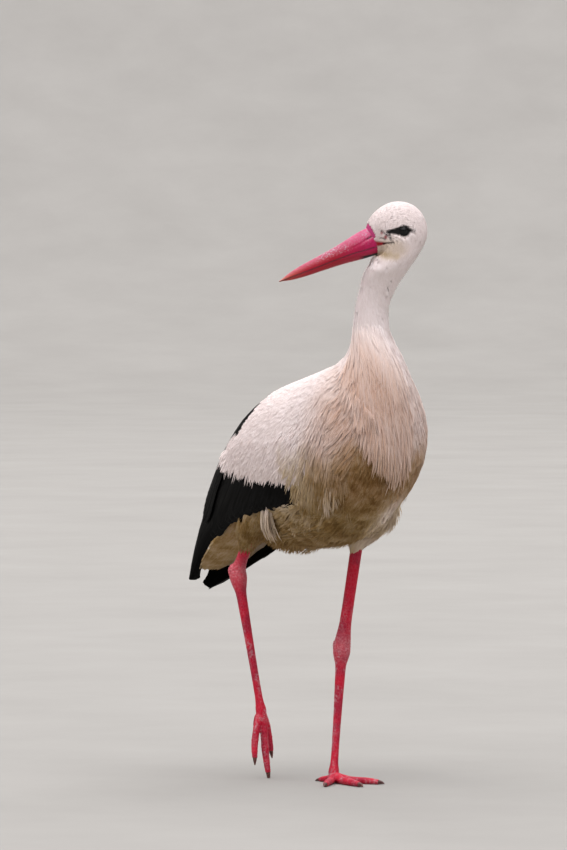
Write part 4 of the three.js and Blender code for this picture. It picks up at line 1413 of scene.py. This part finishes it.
def skin_material():
    """Skin: plumage-coloured under the coat with the same soiling and painted shade, black and red on the
    face, and crimson scaled legs with paler mottled hocks and a chalky film down the tarsus."""
    made, tree, shader = material("skin", 0.55, Specular_IOR_Level=0.25)
    base = layered(
        tree,
        dirtied_and_shaded(tree, Tone=0.3, Streak=0.4),
        (mask(tree, "gape"), RED_SKIN),
        (mask(tree, "cere"), colour(176, 62, 112)),
        (mask(tree, "ink"), BLACK),
    )
    place = node(tree, "TexCoord").outputs["Object"]
    drawn = node(tree, "VectorMath", {0: place, 1: (1.0, 1.0, 0.62)}, operation="MULTIPLY").outputs[0]
    cells = node(tree, "TexVoronoi", {"Vector": drawn, "Scale": 330.0}, feature="DISTANCE_TO_EDGE")
    scale = ranged(tree, cells.outputs["Distance"], 0.0, 0.16)
    fine = mottled(tree, 3.2, 0.44, 0.62)
    pale = sums(tree, "ADD", times(tree, fine, 0.6), 0.4)
    height = node(tree, "SeparateXYZ", {0: place}).outputs["Z"]
    low = sums(tree, "SUBTRACT", 1.0, ranged(tree, height, 0.19, 0.3))
    chalk = times(tree, mottled(tree, 11.0, 0.46, 0.66, 0.4), fine, low)
    leg = layered(
        tree,
        colour(192, 10, 48),
        (mottled(tree, 26.0, 0.42, 0.6), colour(158, 18, 50)),
        (times(tree, sums(tree, "SUBTRACT", 1.0, scale), 0.22), colour(204, 96, 112)),
        (times(tree, mask(tree, "hock"), pale, clamp=True), colour(214, 138, 146)),
        (times(tree, chalk, 0.7), colour(186, 160, 168)),
    )
    tree.links.new(mixed(tree, mask(tree, "leg"), base, leg), shader.inputs["Base Color"])
    bumped(tree, shader, times(tree, scale, mask(tree, "leg")), 0.0004, 0.7)
    return made


def bill_material():
    """Bill: magenta at the base, crimson in the middle, orange pink at the tip, paler along the ridge as a
    painted highlight, darker red on the lower half as painted shade, grey specks in patches, fine streaks
    along it, dark at the mouth line, painted shade in the nostril, black skin under its base."""
    coat = {"Coat_Weight": 0.06, "Coat_Roughness": 0.25}
    made, tree, shader = material("bill", 0.38, Specular_IOR_Level=0.35, **coat)
    run, rise = mask(tree, "run"), mask(tree, "rise")
    ramp = node(tree, "ValToRGB", {"Fac": run})
    stops = [
        (0.0, (180, 16, 88)), (0.16, (168, 12, 70)), (0.42, (154, 10, 40)), (0.72, (164, 32, 50)),
        (0.9, (178, 74, 66)), (1.0, (196, 126, 102)),
    ]
    while len(ramp.color_ramp.elements) < len(stops):
        ramp.color_ramp.elements.new(0.5)
    for element, (place, shade) in zip(ramp.color_ramp.elements, stops):
        element.position, element.color = place, colour(*shade)
    streak = mottled(tree, 5.0, 0.4, 0.7)
    patch, speck = mottled(tree, 24.0, 0.46, 0.62), mottled(tree, 2.2, 0.5, 0.62)
    where = times(tree, ranged(tree, rise, 0.25, 0.75), ranged(tree, run, 0.75, 0.5))
    grey = times(tree, times(tree, sums(tree, "ADD", patch, 0.3), speck), where, clamp=True)
    base = layered(
        tree,
        ramp.outputs["Color"],
        # painted highlight: the top of the upper bill paler pink along the ridge
        (times(tree, ranged(tree, rise, 0.55, 1.25), 0.4), colour(206, 108, 150)),
        # painted shade: the lower bill darker red from the mouth line down
        (times(tree, ranged(tree, rise, 0.0, -0.3), 0.5), colour(150, 20, 34)),
        (times(tree, streak, 0.22), colour(120, 14, 36)),
        (times(tree, grey, 0.8), colour(168, 146, 160)),
        (times(tree, mask(tree, "lip"), 0.75), colour(70, 10, 30)),
        # painted shade: the nostril groove darkened
        (times(tree, mask(tree, "slit"), 0.85), colour(56, 10, 34)),
        (times(tree, ranged(tree, rise, -0.36, -0.44), ranged(tree, run, 0.2, 0.14)), BLACK),
    )
    tree.links.new(base, shader.inputs["Base Color"])
    tree.links.new(ranged(tree, streak, 0.0, 1.0, 0.3, 0.5), shader.inputs["Roughness"])
    bumped(tree, shader, sums(tree, "ADD", streak, speck), 0.0003, 0.35)
    return made


def eye_material():
    """Eye: a black pupil in a very dark brown iris, under a clear wet surface."""
    made, tree, shader = material("eye", 0.08, Coat_Weight=0.25, Coat_Roughness=0.02, Specular_IOR_Level=0.12)
    off = mask(tree, "off")
    iris = mixed(tree, mottled(tree, 0.8, 0.4, 0.6), colour(12, 9, 11), colour(22, 15, 15))
    pupil = (0.002, 0.002, 0.002, 1.0)
    tree.links.new(mixed(tree, ranged(tree, off, 0.4, 0.44), pupil, iris), shader.inputs["Base Color"])
    return made


def claw_material():
    """Claws: dark brown horn, paler and dustier in patches."""
    made, tree, shader = material("claw", 0.5, Specular_IOR_Level=0.4)
    dust = mottled(tree, 3.0, 0.4, 0.65)
    tree.links.new(mixed(tree, dust, colour(62, 30, 28), colour(112, 70, 62)), shader.inputs["Base Color"])
    bumped(tree, shader, dust, 0.0002, 0.4)
    return made


# ------------------------------------------------------------------ stage, light and camera


def make_stage():
    """A floor that curves up into a low wall all round, far away: a circle's profile turned about the
    upright axis."""
    flat, curve, top = 16, 9, 14  # metres: the flat's radius, the curve's and the wall's height
    rise = np.linspace(0, math.pi / 2, 24)[1:]
    radius = np.concatenate([np.linspace(0.5, flat, 24), flat + curve * np.sin(rise), [flat + curve]])
    radius = radius[:, None]
    height = np.concatenate([np.zeros(24), curve - curve * np.cos(rise), [top]])[:, None]
    turn = circle(96)
    grid = np.stack(np.broadcast_arrays(radius * np.cos(turn), radius * np.sin(turn), height), axis=-1)
    points = np.concatenate([grid.reshape(-1, 3), [[0, 0, 0]]])
    ring, nxt = np.arange(96), np.roll(np.arange(96), -1)
    middle = np.stack([np.full(96, len(points) - 1), ring, nxt], axis=-1)
    floor = mesh_from("floor", (points - SHIFT) * 1000, [grid_faces(len(radius), 96, closed=True), middle])
    made, tree, shader = material("floor", 0.9, Specular_IOR_Level=0.2)
    patches = mottled(tree, 400.0, 0.3, 0.7)
    tint = mixed(tree, patches, colour(142, 140, 136), colour(148, 146, 142))
    tree.links.new(tint, shader.inputs["Base Color"])
    floor.data.materials.append(made)


def make_light():
    """A wide light from above and a little behind the bird, a still wider one from its right front, and an
    even pale fill."""
    # energy, angle across in degrees, colour, turn in degrees
    for name, energy, spread, tint, turn in [
        ("sky", 3.0, 80, (1.0, 0.98, 0.965), (-14, 4, 0)),
        ("side", 3.5, 110, (1.0, 0.97, 0.98), (62, 0, -40)),
    ]:
        data = bpy.data.lights.new(name, "SUN")
        data.energy, data.angle, data.color = energy, spread * RAD, tint
        lamp = bpy.data.objects.new(name, data)
        lamp.rotation_euler = [angle * RAD for angle in turn]
        bpy.context.scene.collection.objects.link(lamp)
    world = bpy.context.scene.world or bpy.data.worlds.new("world")
    bpy.context.scene.world = world
    world.use_nodes = True
    fill = world.node_tree.nodes["Background"].inputs
    fill["Color"].default_value, fill["Strength"].default_value = (0.93, 0.93, 1.0, 1.0), 0.85
    bpy.context.scene.view_settings.view_transform = "Standard"


CAMERA_TURN = 30 * RAD
CAMERA_AWAY, CAMERA_HEIGHT = 10.0, 0.9  # metres
BIRD_MIDDLE = np.array([0, 0.12, 0.43])
AIM_ASIDE, AIM_UP = -0.0558, 0.0914  # metres from the bird's middle, across the view and up
PICTURE_TALL = 1.2325  # metres that the picture's height takes in at the bird
SENSOR = 36


def make_camera():
    """A long lens ten metres off to the bird's right front, a little above its head's height, aimed a little
    above the bird's middle and to one side of it."""
    data = bpy.data.cameras.new("camera")
    camera = bpy.data.objects.new("camera", data)
    back = np.array([-math.sin(CAMERA_TURN), -math.cos(CAMERA_TURN), 0])
    across = np.array([math.cos(CAMERA_TURN), -math.sin(CAMERA_TURN), 0])
    middle = BIRD_MIDDLE + SHIFT
    aim = middle + AIM_ASIDE * across + [0, 0, AIM_UP]
    place = middle + CAMERA_AWAY * back
    place[2] = CAMERA_HEIGHT
    data.sensor_width = SENSOR
    data.lens = SENSOR * float(np.linalg.norm(aim - place)) / PICTURE_TALL
    data.clip_start, data.clip_end = 0.1, 200
    camera.location = place
    camera.rotation_mode = "QUATERNION"
    camera.rotation_quaternion = Vector(aim - place).to_track_quat("-Z", "Y")
    bpy.context.scene.collection.objects.link(camera)
    bpy.context.scene.camera = camera


# ------------------------------------------------------------------ the whole bird

make_camera()
make_stage()
make_light()
white, loose = plumage("white_plumage", 22.0), plumage("belly_plumage", 16.0)
black = black_plumage()
make_skin(skin_material())
horn = bill_material()
dress(mandible(True), horn, "bill_red", "bill_upper")
dress(mandible(False), horn, "bill_red", "bill_lower")
eyes, nails = eye_material(), claw_material()
for side in SIDES:
    dress(eyeball(side), eyes, "eye_dark", "eye_" + side)
    dress(claws(side), nails, "claw_brown", *[f"claw_{side}_{toe}" for toe in TOE])
    wing_quills(side, black)
    covert_coat(side, white)
tail_feathers(white)
for coat in (head_coat, neck_coat, plumes, breast_coat, flank_coat, back_coat):
    coat(white)
belly_coat(loose)
coat_piece("coat_thigh_left", [thigh_coat("left", 18)], white, "belly_plumage", less_soil_shade=0.6)
coat_piece("coat_thigh_right", [thigh_coat("right", 19)], loose, "belly_plumage")
tufts(white)
undertail_coat(loose)
